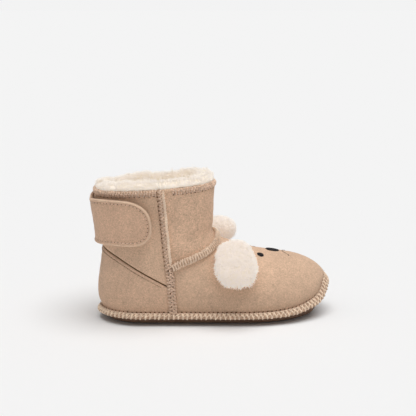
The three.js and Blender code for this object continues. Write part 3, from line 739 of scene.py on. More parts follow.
def fibres(points, normals, length, lean, radii, curl, seed, clump=2.6, pull=0.55):
    """Curved closed wool hairs, drawn together in locks of about `clump` millimetres.

    radii: at root and tip. Returns verts, faces and shade, 0 at the root and 1 at the tip.
    """
    rng = np.random.default_rng(seed)
    count, steps, sides = len(points), 5, 3
    spread = (0.7, 1.25) if np.ndim(length) == 0 else (0.75, 1.2)
    length = (length * rng.uniform(*spread, count))[:, None, None]
    direction = unit(normals + lean + rng.normal(0, 0.22, (count, 3)))
    lock = np.stack([noise(points, clump, seed + k) for k in (1, 2, 3)], -1)
    side = unit(np.cross(direction, rng.normal(0, 1, (count, 3))))
    side2 = np.cross(direction, side)
    run = np.linspace(0, 1, steps)
    t = run[None, :, None]
    phase = rng.uniform(0, 2 * np.pi, (count, 1, 1))
    turn = phase + rng.uniform(0.6, 1.5, (count, 1, 1)) * 2 * np.pi * t
    swing = curl * rng.uniform(0.4, 1.3, (count, 1, 1)) * np.sqrt(t)
    paths = points[:, None] + direction[:, None] * (length * t)
    paths = paths + lock[:, None] * (pull * t**1.5 * length)
    paths = paths + swing * (np.cos(turn) - np.cos(phase)) * side[:, None]
    paths = paths + swing * (np.sin(turn) - np.sin(phase)) * side2[:, None]
    verts, faces = tube(paths, side[:, None], mix(*radii, run), sides)
    return verts, faces, np.broadcast_to(t, (count, steps, sides)).ravel()


def add_wool(name, material, base, base_shade, locks, slot, node, **place):
    """One piece from a lumpy base mesh and a list of fibres."""
    shade = np.concatenate([base_shade * np.ones(len(base[0]))] + [part[2] for part in locks])
    mesh = merge([base] + [part[:2] for part in locks])
    add(name, mesh, material, slot, node, shade=shade, **place)


def scatter(grid, normals, count, seed, weight=None):
    """Points and normals spread over a grid surface (rows, cols, 3) by area times weight."""
    rng = np.random.default_rng(seed)
    cols = grid.shape[1]
    down, across = grid[1:, :-1] - grid[:-1, :-1], grid[:-1, 1:] - grid[:-1, :-1]
    area = np.linalg.norm(np.cross(down, across), axis=-1)
    if weight is not None:
        area = area * (weight[1:, 1:] + weight[:-1, :-1]) / 2
    cell = rng.choice(area.size, count, p=area.ravel() / area.sum())
    i, j = cell // (cols - 1), cell % (cols - 1)
    s, t = rng.random((count, 1)), rng.random((count, 1))

    def pick(values):
        left = values[i, j] * (1 - s) + values[i + 1, j] * s
        right = values[i, j + 1] * (1 - s) + values[i + 1, j + 1] * s
        return left * (1 - t) + right * t

    return pick(grid), unit(pick(normals))


# ------------------------------------------------------------------ materials
def srgb(*channels):
    def linear(c):
        return c / 12.92 if c <= 0.04045 else ((c + 0.055) / 1.055) ** 2.4

    return tuple(linear(c / 255) for c in channels) + (1.0,)


def scaled(color, factor):
    """Colour times one factor or one per channel, capped at 1."""
    return tuple(min(c * f, 1) for c, f in zip(color, np.broadcast_to(factor, 3))) + (1,)


class Shader:
    """A material with one Principled surface; texture sizes are in millimetres."""

    def __init__(self, name):
        self.material = bpy.data.materials.new(name)
        self.material.use_nodes = True
        self.tree = self.material.node_tree
        self.tree.nodes.clear()
        output = self.new("ShaderNodeOutputMaterial")
        self.surface = self.new("ShaderNodeBsdfPrincipled")
        self.link(self.surface.outputs[0], output.inputs[0])

    @cached_property
    def coords(self):
        return self.new("ShaderNodeTexCoord").outputs["Object"]

    def new(self, kind, **settings):
        node = self.tree.nodes.new(kind)
        for key, value in settings.items():
            setattr(node, key, value)
        return node

    def link(self, source, target):
        self.tree.links.new(source, target)

    def put(self, value, socket):
        if hasattr(value, "is_output"):
            self.link(value, socket)
        else:
            socket.default_value = value

    def noise(self, size, detail=2.0, rough=0.6, stretch=None, distortion=0.0):
        node = self.new("ShaderNodeTexNoise")
        coords = self.coords
        if stretch is not None:
            mapping = self.new("ShaderNodeMapping")
            mapping.inputs["Scale"].default_value = stretch
            self.link(coords, mapping.inputs[0])
            coords = mapping.outputs[0]
        self.link(coords, node.inputs["Vector"])
        node.inputs["Scale"].default_value = 1000.0 / size
        node.inputs["Detail"].default_value = detail
        node.inputs["Roughness"].default_value = rough
        node.inputs["Distortion"].default_value = distortion
        return node.outputs["Fac"]

    def cells(self, size):
        node = self.new("ShaderNodeTexVoronoi")
        self.link(self.coords, node.inputs["Vector"])
        node.inputs["Scale"].default_value = 1000.0 / size
        return node.outputs["Distance"]

    def ply(self, size, distortion):
        """Slanted bands."""
        node = self.new("ShaderNodeTexWave", wave_type="BANDS", bands_direction="DIAGONAL")
        self.link(self.coords, node.inputs["Vector"])
        node.inputs["Scale"].default_value = 1000 / size
        node.inputs["Distortion"].default_value = distortion
        return node.outputs["Fac"]

    def ramp(self, value, start=0.3, end=0.7, low=0.0, high=1.0):
        node = self.new("ShaderNodeMapRange")
        self.put(value, node.inputs["Value"])
        for i, number in enumerate((start, end, low, high), 1):
            node.inputs[i].default_value = number
        return node.outputs[0]

    def math(self, operation, a, b):
        node = self.new("ShaderNodeMath", operation=operation)
        self.put(a, node.inputs[0])
        self.put(b, node.inputs[1])
        return node.outputs[0]

    def times(self, value, factor):
        return self.math("MULTIPLY", value, factor)

    def mix(self, share, a, b, mode="MIX"):
        node = self.new("ShaderNodeMix", data_type="RGBA", blend_type=mode, clamp_factor=True)
        for i, value in ((0, share), (6, a), (7, b)):
            self.put(value, node.inputs[i])
        return node.outputs[2]

    def shade(self):
        """The mesh's own "shade" attribute."""
        return self.new("ShaderNodeAttribute", attribute_name="shade").outputs["Fac"]

    def height(self):
        split = self.new("ShaderNodeSeparateXYZ")
        self.link(self.coords, split.inputs[0])
        return split.outputs[2]

    def bump(self, height, depth, strength, after=None):
        node = self.new("ShaderNodeBump")
        node.inputs["Strength"].default_value = strength
        node.inputs["Distance"].default_value = depth * MM
        self.link(height, node.inputs["Height"])
        if after is not None:
            self.link(after, node.inputs["Normal"])
        return node.outputs[0]

    def finish(
        self, color, rough, normal=None, sheen=0.0, sheen_tint=(1, 1, 1, 1),
        sheen_rough=0.5, specular=0.2, painted_glow=0.0,
    ):
        inputs = self.surface.inputs
        self.put(color, inputs["Base Color"])
        self.put(rough, inputs["Roughness"])
        inputs["Specular IOR Level"].default_value = specular
        inputs["Sheen Weight"].default_value = sheen
        inputs["Sheen Tint"].default_value = sheen_tint
        inputs["Sheen Roughness"].default_value = sheen_rough
        if painted_glow:  # painted glow: emission that stands in for light bounced between the hairs and threads
            self.put(color, inputs["Emission Color"])
            inputs["Emission Strength"].default_value = painted_glow
        if normal is not None:
            self.link(normal, inputs["Normal"])
        return self.material


def suede(name, middle, contrast=1.0, nap=1.0, low=None, edge=None):
    """Brushed suede: short nap with cloudy light and dark patches.

    low: painted shade towards the floor, the share of the colour left at the floor, full again at
    36 mm;
    edge: painted highlight with rubbed wear, a lighter colour where "shade" is 1.
    """
    mat = Shader(name)
    cloud = mat.ramp(
        mat.noise(size=13, detail=3, rough=0.55, distortion=0.6), start=0.32, end=0.68
    )
    mottle = mat.ramp(mat.noise(size=3.6, detail=3, stretch=(1, 1, 0.7), distortion=0.5))
    grain = mat.ramp(mat.noise(size=0.85, distortion=0.2))
    fine = mat.ramp(mat.noise(size=0.4, rough=0.7))
    # how much each size of mottling counts
    large = mat.math("ADD", mat.times(cloud, 0.12), mat.times(mottle, 0.14))
    small = mat.math("ADD", mat.times(grain, 0.32), mat.times(fine, 0.42))
    value = mat.ramp(mat.math("ADD", large, small), start=0.12, end=0.88)
    dark, light = scaled(middle, 1 - 0.30 * contrast), scaled(middle, 1 + 0.30 * contrast)
    color = mat.mix(value, dark, light)
    speck = mat.ramp(mat.noise(size=0.6, detail=1, rough=0.5), start=0.64, end=0.76)
    color = mat.mix(mat.times(speck, 0.35), color, scaled(middle, 0.55))
    if low is not None:
        # painted shade: the colour darkens towards the floor, down to low times itself at the
        # ground
        painted_floor_shade = mat.ramp(mat.height(), start=0.006, end=0.036, low=1.0, high=0.0)
        tint = (low, low * 0.985, low * 0.97, 1)
        color = mat.mix(painted_floor_shade, color, mat.mix(1.0, color, tint, "MULTIPLY"))
    if edge is not None:
        # painted highlight with rubbed wear: a lighter colour along the edge
        color = mat.mix(mat.times(mat.shade(), 0.8), color, edge)
    hair = mat.noise(size=0.32 * nap, detail=3, rough=0.75)
    bump = mat.bump(hair, depth=0.22 * nap, strength=0.8)
    bump = mat.bump(mat.noise(size=0.9, distortion=0.3), depth=0.16, strength=0.7, after=bump)
    return mat.finish(
        color, mat.ramp(grain, start=0, end=1, low=0.86, high=0.98), bump,
        sheen=0.16, sheen_tint=(1.0, 0.9, 0.8, 1), sheen_rough=0.45, specular=0.12,
    )


# The thread's glow is painted light: emission that brightens it.
def thread(name, color, vary=0.3, sheen=0.2, painted_glow=0.0):
    """Spun sewing thread with fine slanted plies."""
    mat = Shader(name)
    ply = mat.ply(size=2.2, distortion=3.0)
    dark, light = scaled(color, 1 - vary), scaled(color, 1 + vary * 0.7)
    body = mat.mix(mat.ramp(mat.noise(size=1.1)), dark, light)
    return mat.finish(
        mat.mix(mat.times(ply, 0.35), body, dark), 0.72,
        mat.bump(ply, depth=0.08, strength=0.7), sheen=sheen,
        sheen_tint=(1, 0.95, 0.88, 1), sheen_rough=0.4, specular=0.3, painted_glow=painted_glow,
    )


def wool(name, root, tip, painted_glow, fine=0.12):
    """Sheepskin pile: root colour deep down as painted shade, tip colour outside, bare hide below
    shade 0; its glow is painted light.
    """
    mat = Shader(name)
    shade = mat.shade()
    hide = mat.ramp(shade, start=-0.15, end=-0.45)
    # painted shade: the darker root colour deep in the pile
    color = mat.mix(mat.ramp(shade, start=0.0, end=0.75), root, tip)
    lock = mat.ramp(mat.noise(size=2.6, detail=3, distortion=0.6), start=0.35, end=0.7)
    color = mat.mix(mat.times(lock, 0.16), color, scaled(tip, (1.0, 0.9, 0.76)))
    speck = mat.times(mat.ramp(mat.noise(size=0.35)), fine)
    color = mat.mix(speck, color, scaled(root, 0.8))
    color = mat.mix(hide, color, srgb(150, 122, 98))
    bump = mat.bump(mat.noise(size=0.5, detail=3, rough=0.7), depth=0.25, strength=0.6)
    material = mat.finish(color, 1.0, bump, specular=0.0, painted_glow=painted_glow)
    strength = mat.ramp(hide, start=0.0, end=1.0, low=painted_glow, high=0.0)
    mat.link(strength, mat.surface.inputs["Emission Strength"])
    return material


def needle_hole():
    # painted shade in the needle holes
    mat = Shader("needle_hole")
    color = mat.mix(mat.ramp(mat.noise(size=0.6)), srgb(92, 66, 50), srgb(126, 96, 76))
    bump = mat.bump(mat.noise(size=0.2), depth=0.05, strength=0.5)
    return mat.finish(color, 1.0, bump, specular=0.0)


def foam():
    mat = Shader("pad_foam")
    cell = mat.cells(size=0.55)
    share = mat.ramp(cell, start=0.0, end=0.6)
    color = mat.mix(share, srgb(176, 170, 160), srgb(226, 222, 214))
    return mat.finish(color, 0.95, mat.bump(cell, depth=0.2, strength=0.8), sheen=0.05)


def tape(name, color):
    mat = Shader(name)
    mottled = mat.mix(mat.ramp(mat.noise(size=0.6)), scaled(color, 0.8), color)
    bump = mat.bump(mat.cells(size=0.5), depth=0.06, strength=0.5)
    return mat.finish(mottled, 0.55, bump, sheen=0.1, specular=0.35)


# The vamp and the heel get painted shade towards the floor through low.
SUEDE_VAMP = suede("suede_vamp", srgb(223, 189, 161), low=0.80)
SUEDE_SHAFT = suede("suede_shaft", srgb(219, 184, 156), contrast=1.3)
SUEDE_FLAP = suede("suede_flap", srgb(220, 186, 158))
SUEDE_HEEL = suede("suede_heel", srgb(217, 183, 156), low=0.97)
# The strap's edge colour is a painted highlight with rubbed wear.
SUEDE_STRAP = suede(
    "suede_strap", srgb(214, 178, 151), contrast=1.05, edge=srgb(232, 203, 176)
)
SUEDE_SEAM = suede("suede_seam", srgb(198, 166, 142), contrast=1.2)
SUEDE_ROLL = suede("suede_roll", srgb(196, 163, 138), contrast=1.2)
# painted shade: the sole's suede is darkened for the shadow under the flange
SUEDE_SOLE_SHADED = suede("suede_sole", srgb(124, 96, 78), nap=1.3)
# The threads and the wool get a painted glow: emission that stands in for bounced light.
THREAD = thread("overlock_thread", srgb(240, 211, 186), vary=0.34, painted_glow=0.085)
THREAD_ROLL = thread("roll_thread", srgb(238, 211, 187), painted_glow=0.06)
THREAD_SEAM = thread("seam_thread", srgb(232, 202, 178), vary=0.34, painted_glow=0.04)
THREAD_CORD = thread("cord_thread", srgb(243, 219, 196), vary=0.2, painted_glow=0.09)
THREAD_DIM = thread("stitch_thread", srgb(190, 157, 131))
FACE = thread("face_thread", srgb(34, 31, 33), sheen=0.12)
MOUTH = thread("mouth_thread", srgb(96, 80, 70), sheen=0.12)
WOOL = wool("sheepskin", srgb(240, 229, 213), srgb(253, 247, 240), painted_glow=0.18)
# painted shade: a darker, yellower copy of the wool for the linings deep inside
WOOL_IN_SHADED = wool("sheepskin_inner", srgb(240, 224, 198), srgb(251, 240, 222), painted_glow=0.17)
WOOL_EAR = wool("ear_wool", srgb(244, 233, 222), srgb(253, 247, 241), painted_glow=0.175, fine=0.05)
HOLE_SHADE = needle_hole()
FOAM = foam()
HOOK_TAPE = tape("hook_tape", srgb(206, 190, 170))
LOOP_TAPE = tape("loop_tape", srgb(200, 178, 154))

# ------------------------------------------------------------------ sole
SOLE_THICK, PAD_BOTTOM, PAD_TOP, BED_BOTTOM, BED_TOP = 1.7, 2.1, 4.3, 4.7, 8.7
SOLE_CENTRE_X = -2
# Rings of the sole, the insole and the footbed, from the middle of the underside round to
# the top: share of the way to the sole's centre, inset from the needle line, z, and lift as
# a share of the needle line's rise at the toe
SOLE_RINGS = [
    (0.97, 0, 0, 0), (0.8, 0, 0, 0), (0.6, 0, 0, 0), (0.4, 0, 0, 0), (0.25, 0, 0, 0),
    (0, 7.0, 0, 0.02), (0, 5.6, 0, 0.06), (0, 4.9, 0.05, 0.1), (0, 4.2, 0.22, 0.16),
    (0, 3.5, 0.6, 0.25), (0, 3.0, 1.2, 0.4), (0, 2.6, 2.4, 0.6), (0, 2.4, 4.0, 0.8),
    (0, 2.35, 5.6, 0.95), (0, 2.45, 6.2, 1.0), (0, 3.0, 6.5, 1.0), (0, 3.6, 6.3, 1.0),
    (0, 3.9, 5.6, 0.95), (0, 4.0, 4.2, 0.8), (0, 4.2, 2.7, 0.55), (0, 4.8, 1.9, 0.3),
    (0, 6.0, SOLE_THICK, 0.12),
    (0.3, 0, SOLE_THICK, 0), (0.6, 0, SOLE_THICK, 0), (0.97, 0, SOLE_THICK, 0),
]
PAD_RINGS = [
    (0.97, 0, PAD_BOTTOM, 0), (0.5, 0, PAD_BOTTOM, 0), (0, 6.3, PAD_BOTTOM, 0.17),
    (0, 5.85, PAD_BOTTOM + 0.35, 0.18), (0, 5.8, PAD_TOP - 0.35, 0.19), (0, 6.2, PAD_TOP, 0.2),
    (0.5, 0, PAD_TOP, 0), (0.97, 0, PAD_TOP, 0),
]
BED_RINGS = [
    (0.97, 0, BED_BOTTOM, 0), (0.5, 0, BED_BOTTOM, 0), (0, 5.3, BED_BOTTOM, 0.28),
    (0, 4.9, BED_BOTTOM + 1, 0.3), (0, 4.8, BED_BOTTOM + 2, 0.34), (0, 5.3, BED_TOP - 0.6, 0.36),
    (0, 6.4, BED_TOP - 0.2, 0.3), (0, 8.5, BED_TOP - 0.3, 0.2), (0, 11, BED_TOP - 0.4, 0.1),
    (0.5, 0, BED_TOP - 0.4, 0.03), (0.65, 0, BED_TOP - 0.4, 0), (0.8, 0, BED_TOP - 0.4, 0),
    (0.97, 0, BED_TOP - 0.4, 0),
]


def plate(section, count, relief=None):
    """A closed plate that follows the needle line; returns its mesh and rings."""
    t = np.arange(count) / count
    line = needle_loop(t)
    ahead = needle_loop(t + 2e-3) - needle_loop(t - 2e-3)
    ahead = ahead / np.hypot(ahead[:, 0], ahead[:, 1])[:, None]
    toe_rise = np.maximum(0, line[:, 2] - needle_z(0))
    rings = []
    for share, inset, z, lift in section:
        x = mix(line[:, 0], SOLE_CENTRE_X, share) - ahead[:, 1] * inset
        y = line[:, 1] * (1 - share) + ahead[:, 0] * inset
        rings.append(np.stack([x, y, z + toe_rise * lift], -1))
    rings = np.stack(rings, 1)
    if relief is not None:
        rings = rings + relief(rings)
    rows = rings.shape[1]
    verts = np.vstack([rings.reshape(-1, 3), rings[:, 0].mean(0), rings[:, -1].mean(0)])
    i = np.arange(count)
    start, start2 = i * rows, (i + 1) % count * rows
    last = rows - 1
    bottom = np.stack([start2, start, np.full(count, count * rows)], -1)
    top = np.stack([start + last, start2 + last, np.full(count, count * rows + 1)], -1)
    faces = [grid_faces(count, rows, wrap_rows=True), bottom, top]
    return (verts, outward(verts, faces)), rings


def sole_grain(rings):
    return UP * (0.10 * noise(rings, 5.0, 5) * (rings[..., 2] > 0.5))[..., None]


def add_footbed():
    """The sheepskin footbed, pile up."""
    (verts, faces), rings = plate(BED_RINGS, 200)
    lumps = 0.35 * fractal(rings, 3.2, 41) * (rings[..., 2] > BED_TOP - 1.5)
    lumpy = rings + UP * lumps[..., None]
    verts[: lumps.size] = lumpy.reshape(-1, 3)
    top = lumpy[:, 5:]
    top = np.concatenate([top, top[:1]], 0)
    points, normals = scatter(top, np.broadcast_to(UP, top.shape), hairs(5200), 71)
    pile = fibres(
        points - normals * 0.6, normals, length=2.2, lean=np.array([0.3, 0, 0]),
        radii=(0.16, 0.06), curl=0.45, seed=72,
    )
    add_wool("footbed_fleece", WOOL_IN_SHADED, (verts, faces), 0.2, [pile], "fleece", "footbed")


add("sole_suede", plate(SOLE_RINGS, 260, sole_grain)[0], SUEDE_SOLE_SHADED, "suede_sole", "outsole")
add("foam_insole", plate(PAD_RINGS, 160)[0], FOAM, "foam", "midsole_pad")
add_footbed()


def flange_frame(t):
    """Needle point, edge point and the directions out, along and up round the flange."""
    needle, edge = needle_loop(t), flange_edge(t)
    out = unit(edge - needle)
    ahead = unit(flange_edge(t + 2e-3) - flange_edge(t - 2e-3))
    up = unit(np.cross(out, ahead))
    up[up[:, 2] < 0] *= -1
    return needle, edge, out, ahead, up


def add_flange():
    """The upper and the sole turned out together."""
    count, sides = 520, 14
    needle, edge, out, _, up = flange_frame(np.arange(count) / count)
    length = np.linalg.norm(edge - needle, axis=1)
    angle = np.arange(sides) / sides * 2 * np.pi
    share = 0.5 + 0.5 * signed_pow(np.cos(angle), 0.75)
    reach = mix(-1.0, (length - 0.55)[:, None], share)
    wave = 0.12 * noise(edge, 4.0, 8)[:, None] * 0.6
    rise = -0.8 + 0.62 * signed_pow(np.sin(angle), 0.6) + wave
    rings = needle[:, None] + out[:, None] * reach[..., None] + up[:, None] * rise[..., None]
    verts = rings.reshape(-1, 3)
    mesh = verts, outward(verts, [grid_faces(count, sides, True, True)])
    add("sole_seam_flange", mesh, SUEDE_SEAM, "suede_vamp", "sole_seam_welt")


def add_flange_stitching():
    """Overlock thread round the flange and the holes on its needle line."""
    t = along(flange_edge(np.linspace(0, 1, 4000)), 2.42, offset=0.0)
    needle, edge, out, ahead, up = flange_frame(t)
    count = len(t)
    start = needle + out * 0.25
    rim = edge - out * (0.86 + jitter(0.14, count, 1))
    lean = 0.95 + jitter(0.25, count)
    # the flange thins out round the toe
    thin = 1 - 0.30 * smooth((start[:, 0] - 42) / 14)

    def strand(shift, inset, rim_shift, lean, **shape):
        holes = start + ahead * shift + out * inset
        return overlock(holes, rim + out * rim_shift, up, lean, closed=True, **shape)

    strands = [
        strand(0, 0, 0, lean, stand=0, depth=1.55, radius=0.36 * thin, wander=0.2, crown=0.30),
        strand(0.55, 0.25, 0.06, lean - 0.02,
               stand=0, depth=1.55, radius=0.34 * thin, wander=0.22, crown=0.22),
        strand(1.05, 0.55, -0.05, lean - 0.05,
               stand=-0.06, depth=1.5, radius=0.3 * thin, wander=0.22, crown=0.16),
        strand(1.45, 0.1, -0.35, -1.15 + jitter(0.3, count),
               stand=0.08, depth=1.3, radius=0.24, wander=0.26, crown=0.40),
    ]
    add("sole_overlock_thread", tubes(*strands), THREAD, "thread")
    facing = unit(out * 0.8 + up * 0.6)
    radius = (0.46 + jitter(0.08, count)) * mix(1, 0.55, smooth((needle[:, 0] - 40) / 14))
    points = needle + facing * 0.10 - out * 0.05 + up * 0.35
    add_holes("sole_needle_holes", points, facing, radius, 0.16)


add_flange()
add_flange_stitching()


# ------------------------------------------------------------------ upper panels
def hide_relief(points, height, size, seed, grain=1.7):
    return height * fractal(points, size, seed) + 0.05 * noise(points, grain, seed + 9)


def vamp_relief(points, u, v):
    x, z = points[..., 0], points[..., 2]
    drawn_in = 0.3 * hill(z - needle_z(x) - 1.1, 1.3) * smooth((52 - x) / 12)
    return hide_relief(points, 0.30, 11.0, 21) - drawn_in - 0.3 * hill(u, 0.02)


def heel_relief(points, u, v):
    x, z = points[..., 0], points[..., 2]
    drawn_in = 0.35 * hill(z - needle_z(x) - 1.2, 1.4)
    groove = 0.03 * hill(heel_top_z(x) - z - 1.9, 0.6)
    return hide_relief(points, 0.28, 10.0, 22) - drawn_in - groove


def shaft_relief(points, u, v):
    x, z = points[..., 0], points[..., 2]
    wrinkle = 0.16 * np.sin((z * 0.9 + 2.0 * noise(points, 14, 40)) * 0.75)
    wrinkle = wrinkle * np.clip(1 - np.abs(z - 48) / 18, 0, 1) * smooth((x + 30) / 12)
    return hide_relief(points, 0.26, 12.0, 23) + wrinkle - 0.2 * hill(v - 0.93, 0.03)


def flap_relief(points, u, v):
    return hide_relief(points, 0.25, 11.0, 24) - 0.2 * hill(v - 0.93, 0.03)


def panel(surface, relief, counts, **options):
    return shell(surface, 0, SUEDE, PANEL_ROUND, counts, relief=relief, **options)[0]


add("vamp_suede",
    panel(vamp_at, vamp_relief, (105, 132), rounds=(0, 0, 1, 1),
          square=lambda points: smooth((points[..., 0] - 38) / 14)),
    SUEDE_VAMP, "suede_vamp", "vamp")
add("heel_suede",
    panel(heel_at, heel_relief, (110, 34), rounds=(0, 0, 1, 1), sign=-1),
    SUEDE_HEEL, "suede_shaft", "heel_panel")
add("shaft_front_suede",
    panel(shaft_at, shaft_relief, (96, 48), rounds=(0, 0, 0, 1)),
    SUEDE_SHAFT, "suede_shaft", "shaft_front")

# ------------------------------------------------------------------ linings
LINING_OUT = -(SUEDE + LAYER_GAP)  # offset of the linings' outer face


def rim_pile(surface, span, sign, count, outer, seed):
    """Fibres over the rounded top edge, from just above the suede across and down inside."""
    count = hairs(count)
    rng = np.random.default_rng(seed + 20)
    rng.integers(0, 3, count)  # unused, but the draws below follow it
    u = mix(span[0] + 0.006, span[1] - 0.006, rng.random(count))
    angle = rng.uniform(-0.15, 1.0, count) * np.pi  # 0 looks outward, pi inward
    points, normals = surface(u, span[3]), normal_of(surface, u, span[3]) * sign
    cos, above, below = np.cos(angle), np.sin(np.maximum(angle, 0)), np.minimum(angle, 0)
    reach = outer - PILE / 2 + cos * (PILE / 2 - 0.3) + 0.75 * np.clip(cos, 0, 1)
    rise = -2.1 + 1.9 * above + 0.5 * fractal(points, 4.0, seed + 8, 2) + below * 2
    roots = points + normals * reach[:, None] + UP * rise[:, None]
    facing = unit(normals * cos[:, None] + UP * (above + 0.15)[:, None])
    length = np.where(angle < 0.35, 1.5, np.where(angle > 2.4, 2.6, 1.9))
    return fibres(
        roots - facing * 0.5, facing, length, lean=UP * 0.15, radii=(0.14, 0.045),
        curl=0.5, seed=seed + 13, clump=2.2,
    )


def edge_pile(surface, span, sign, outer, thick, seed):
    """Pile that stands over the cut edges and hides the joint with the next lining."""
    count = hairs(600)
    rng = np.random.default_rng(seed + 30)
    parts = []
    for v in span[2:]:
        u = mix(span[0] + 0.01, span[1] - 0.01, rng.random(count))
        points, normals = surface(u, v), normal_of(surface, u, v) * sign
        away = unit(points - surface(u, mix(v, 0.5, 0.1)))
        depth = outer - value_at(thick, u, v) * rng.uniform(0.45, 0.98, count)
        parts.append(fibres(
            points + normals * depth[:, None] - away * 0.5, unit(away - normals * 0.8),
            length=2.2, lean=0.0, radii=(0.15, 0.05), curl=0.45,
            seed=seed + 31 + int(v > 0.5),
        ))
    return parts


def add_lining(
    name, surface, counts, span, sign, node, pile, seed, rounds, rim=0,
    outer=LINING_OUT, thick=PILE, hair=3.4, edges=False, **place,
):
    """A lumpy rounded sheepskin sheet with `pile` fibres on its inner face and `rim` fibres
    over its top edge."""
    (verts, faces), (outer_face, normals, _, v) = shell(
        surface, outer, thick, 2.1, counts, span=span, sign=sign, rounds=rounds
    )
    count = v.size
    inner_face = verts[count:].reshape(outer_face.shape)
    inner_face = inner_face - normals * (0.45 * fractal(inner_face, 3.4, seed + 3))[..., None]
    top = push = 0 * v
    if rim:
        over = outer_face[..., 2] - collar_z(outer_face[..., 0])  # height over the suede edge
        top = smooth((over + 0.7) / 0.9)
        push = 1.0 * smooth((over + 0.25) / 0.7) * (1 - 0.5 * smooth((over - 1.6) / 1.6))
    lift = UP * (0.5 * fractal(outer_face, 4.0, seed + 8, 2) * top)[..., None]
    push = 0.35 * fractal(outer_face, 3.2, seed + 5, 2) * top + push
    outer_face = outer_face + normals * push[..., None] + lift
    inner_face = inner_face + lift
    verts = np.vstack([outer_face.reshape(-1, 3), inner_face.reshape(-1, 3)])
    weight = 0.35 + 0.65 * smooth((v - 0.35) / 0.4)
    points, facing = scatter(inner_face, -normals, hairs(pile), seed + 11, weight)
    parts = [fibres(
        points - facing * 0.5, facing, hair, lean=UP * 0.25, radii=(0.15, 0.05),
        curl=0.55, seed=seed + 12,
    )]
    if rim:
        parts.append(rim_pile(surface, span, sign, rim, outer, seed))
    if edges:
        parts += edge_pile(surface, span, sign, outer, thick, seed)
    # the hide side is bare below the rim
    shade = np.r_[mix(-1.0, 0.3, top).ravel(), np.full(count, 0.3)]
    material = WOOL if rim else WOOL_IN_SHADED
    add_wool(name, material, (verts, faces), shade, parts, "fleece", node, **place)


def tall_shaft(u, v):
    u = np.asarray(u, float)
    return shaft_at(u, v, rim_of(front_x(np.abs(2 * u - 1), 70.0), u > 0.5))


add_lining(
    "shaft_front_fleece", tall_shaft, (90, 44), (0.0, 1.0, 0.1, 1), 1, "shaft_front_lining",
    pile=2800, rim=4700, outer=LINING_OUT - 0.15, seed=50, rounds=(0, 0, 1, 1),
)
add_lining(
    "heel_fleece", lambda u, v: heel_at(u, v, low=9.2), (70, 18), (0.0, 1.0, 0.0, 1.0), -1,
    "heel_lining", pile=2400, seed=90, rounds=(0, 0, 1, 1), edges=True,
)
add_lining(
    "vamp_fleece", vamp_at, (50, 60), (0.0, 0.83, 0.018, 0.982), 1, "vamp_lining",
    pile=2400, seed=130, thick=lambda u, v: mix(PILE, 3.4, smooth((u - 0.4) / 0.4)),
    hair=2.6, rounds=(0, 1, 1, 1), edges=True,
)

# ------------------------------------------------------------------ back flaps
SLIT = 0.022  # u where each flap starts beside the centre back


def flap_surface(side, tall=False):
    def surface(u, v):
        rise = rim_of(rear_x(np.asarray(u, float), 69.0), side > 0) if tall else 0.0
        return flap_at(u, v, side, rise)

    return surface


def flap_hinge(name, side):
    return name + "_flap", "upper", (-35.0, side * 21.0, 45), (-28.6, side * 22.4, 45)


for name, side in SIDES:
    flap, hinge = name + "_flap", flap_hinge(name, side)
    mesh = panel(flap_surface(side), flap_relief, (52, 46), span=(SLIT, 1.0, 0, 1),
                 sign=-side, rounds=(1, 0, 1, 1))
    add(flap + "_suede", mesh, SUEDE_FLAP, "suede_shaft", flap + "_panel", hinge=hinge)
    add_lining(
        flap + "_fleece", flap_surface(side, tall=True), (44, 38), (SLIT + 0.012, 1.0, 0.07, 1),
        -side, flap + "_lining", pile=2600, rim=3800, seed=170 + 40 * (side > 0),
        rounds=(1, 0, 1, 1), hinge=hinge,
    )

# ------------------------------------------------------------------ collar overlock
COLLAR_STITCH = 2.5  # depth of the stitch below the collar edge


def add_collar(name, surface, u0, u1, sign, node, **place):
    line = surface(np.linspace(u0, u1, 400), 1)
    low_v = 1 - COLLAR_STITCH / 28.0
    u = mix(u0, u1, along(line, 1.42))
    count = len(u)
    out = normal_of(surface, u, 0.97) * sign
    rim = surface(u, 1) - UP * 0.35
    low = surface(u, low_v)
    height = np.maximum(np.linalg.norm(rim - low, axis=1, keepdims=True), COLLAR_STITCH)
    holes = low + (rim - low) * (1 - COLLAR_STITCH / height)
    holes = holes + jitter(0.12, count, 1) * unit(rim - low)
    ahead = unit(np.gradient(holes, axis=0))
    loops = overlock(holes, rim, out, 0.55 + jitter(0.25, count),
                     stand=0.30, depth=1.75, radius=0.35, wander=0.2, crown=0.40)
    crossing = overlock(holes + ahead * 0.7, rim, out, -0.8 + jitter(0.25, count),
                        stand=0.18, depth=1.65, radius=0.24, wander=0.2, crown=0.28)
    add(name, tubes(loops, crossing), THREAD_SEAM, "thread", node, **place)
    u = mix(u0, u1, along(line, 2.35))
    out = normal_of(surface, u, 0.95) * sign
    edge = surface(u, 1)
    points = edge + unit(surface(u, low_v) - edge) * 2.95 + out * 0.02
    add_holes(name + "_holes", points, out, 0.34 + jitter(0.05, len(u)), 0.14, **place)


add_collar("front_collar_overlock", shaft_at, 0.05, 0.95, 1, "front_collar_stitch")
for name, side in SIDES:
    add_collar(
        name + "_flap_overlock", flap_surface(side), SLIT + 0.008, 0.965, -side,
        name + "_flap_collar_stitch", hinge=flap_hinge(name, side),
    )

# ------------------------------------------------------------------ side seams
SEAM_FOOT, SEAM_TOP = 6.5, COLLAR_FRONT_Z - 1.3
BAND_LOW, BAND_HIGH = 4.1, 2.75  # width of the band below and above z 26..33
SEAM_PITCH, SEAM_HOLE_PITCH = 1.72, 2.35


def seam_v(z):
    return (z - SEAM_FOOT) / (SEAM_TOP - SEAM_FOOT)


def seam_surface(side):
    """u from the rear to the front edge of the band, v upwards."""
    def surface(u, v):
        z = mix(SEAM_FOOT, SEAM_TOP, v)
        band = mix(BAND_LOW, BAND_HIGH, smooth((z - 26) / 7))
        return on_side(seam_x(z) - 1.5 + u * band, z, side)

    return surface


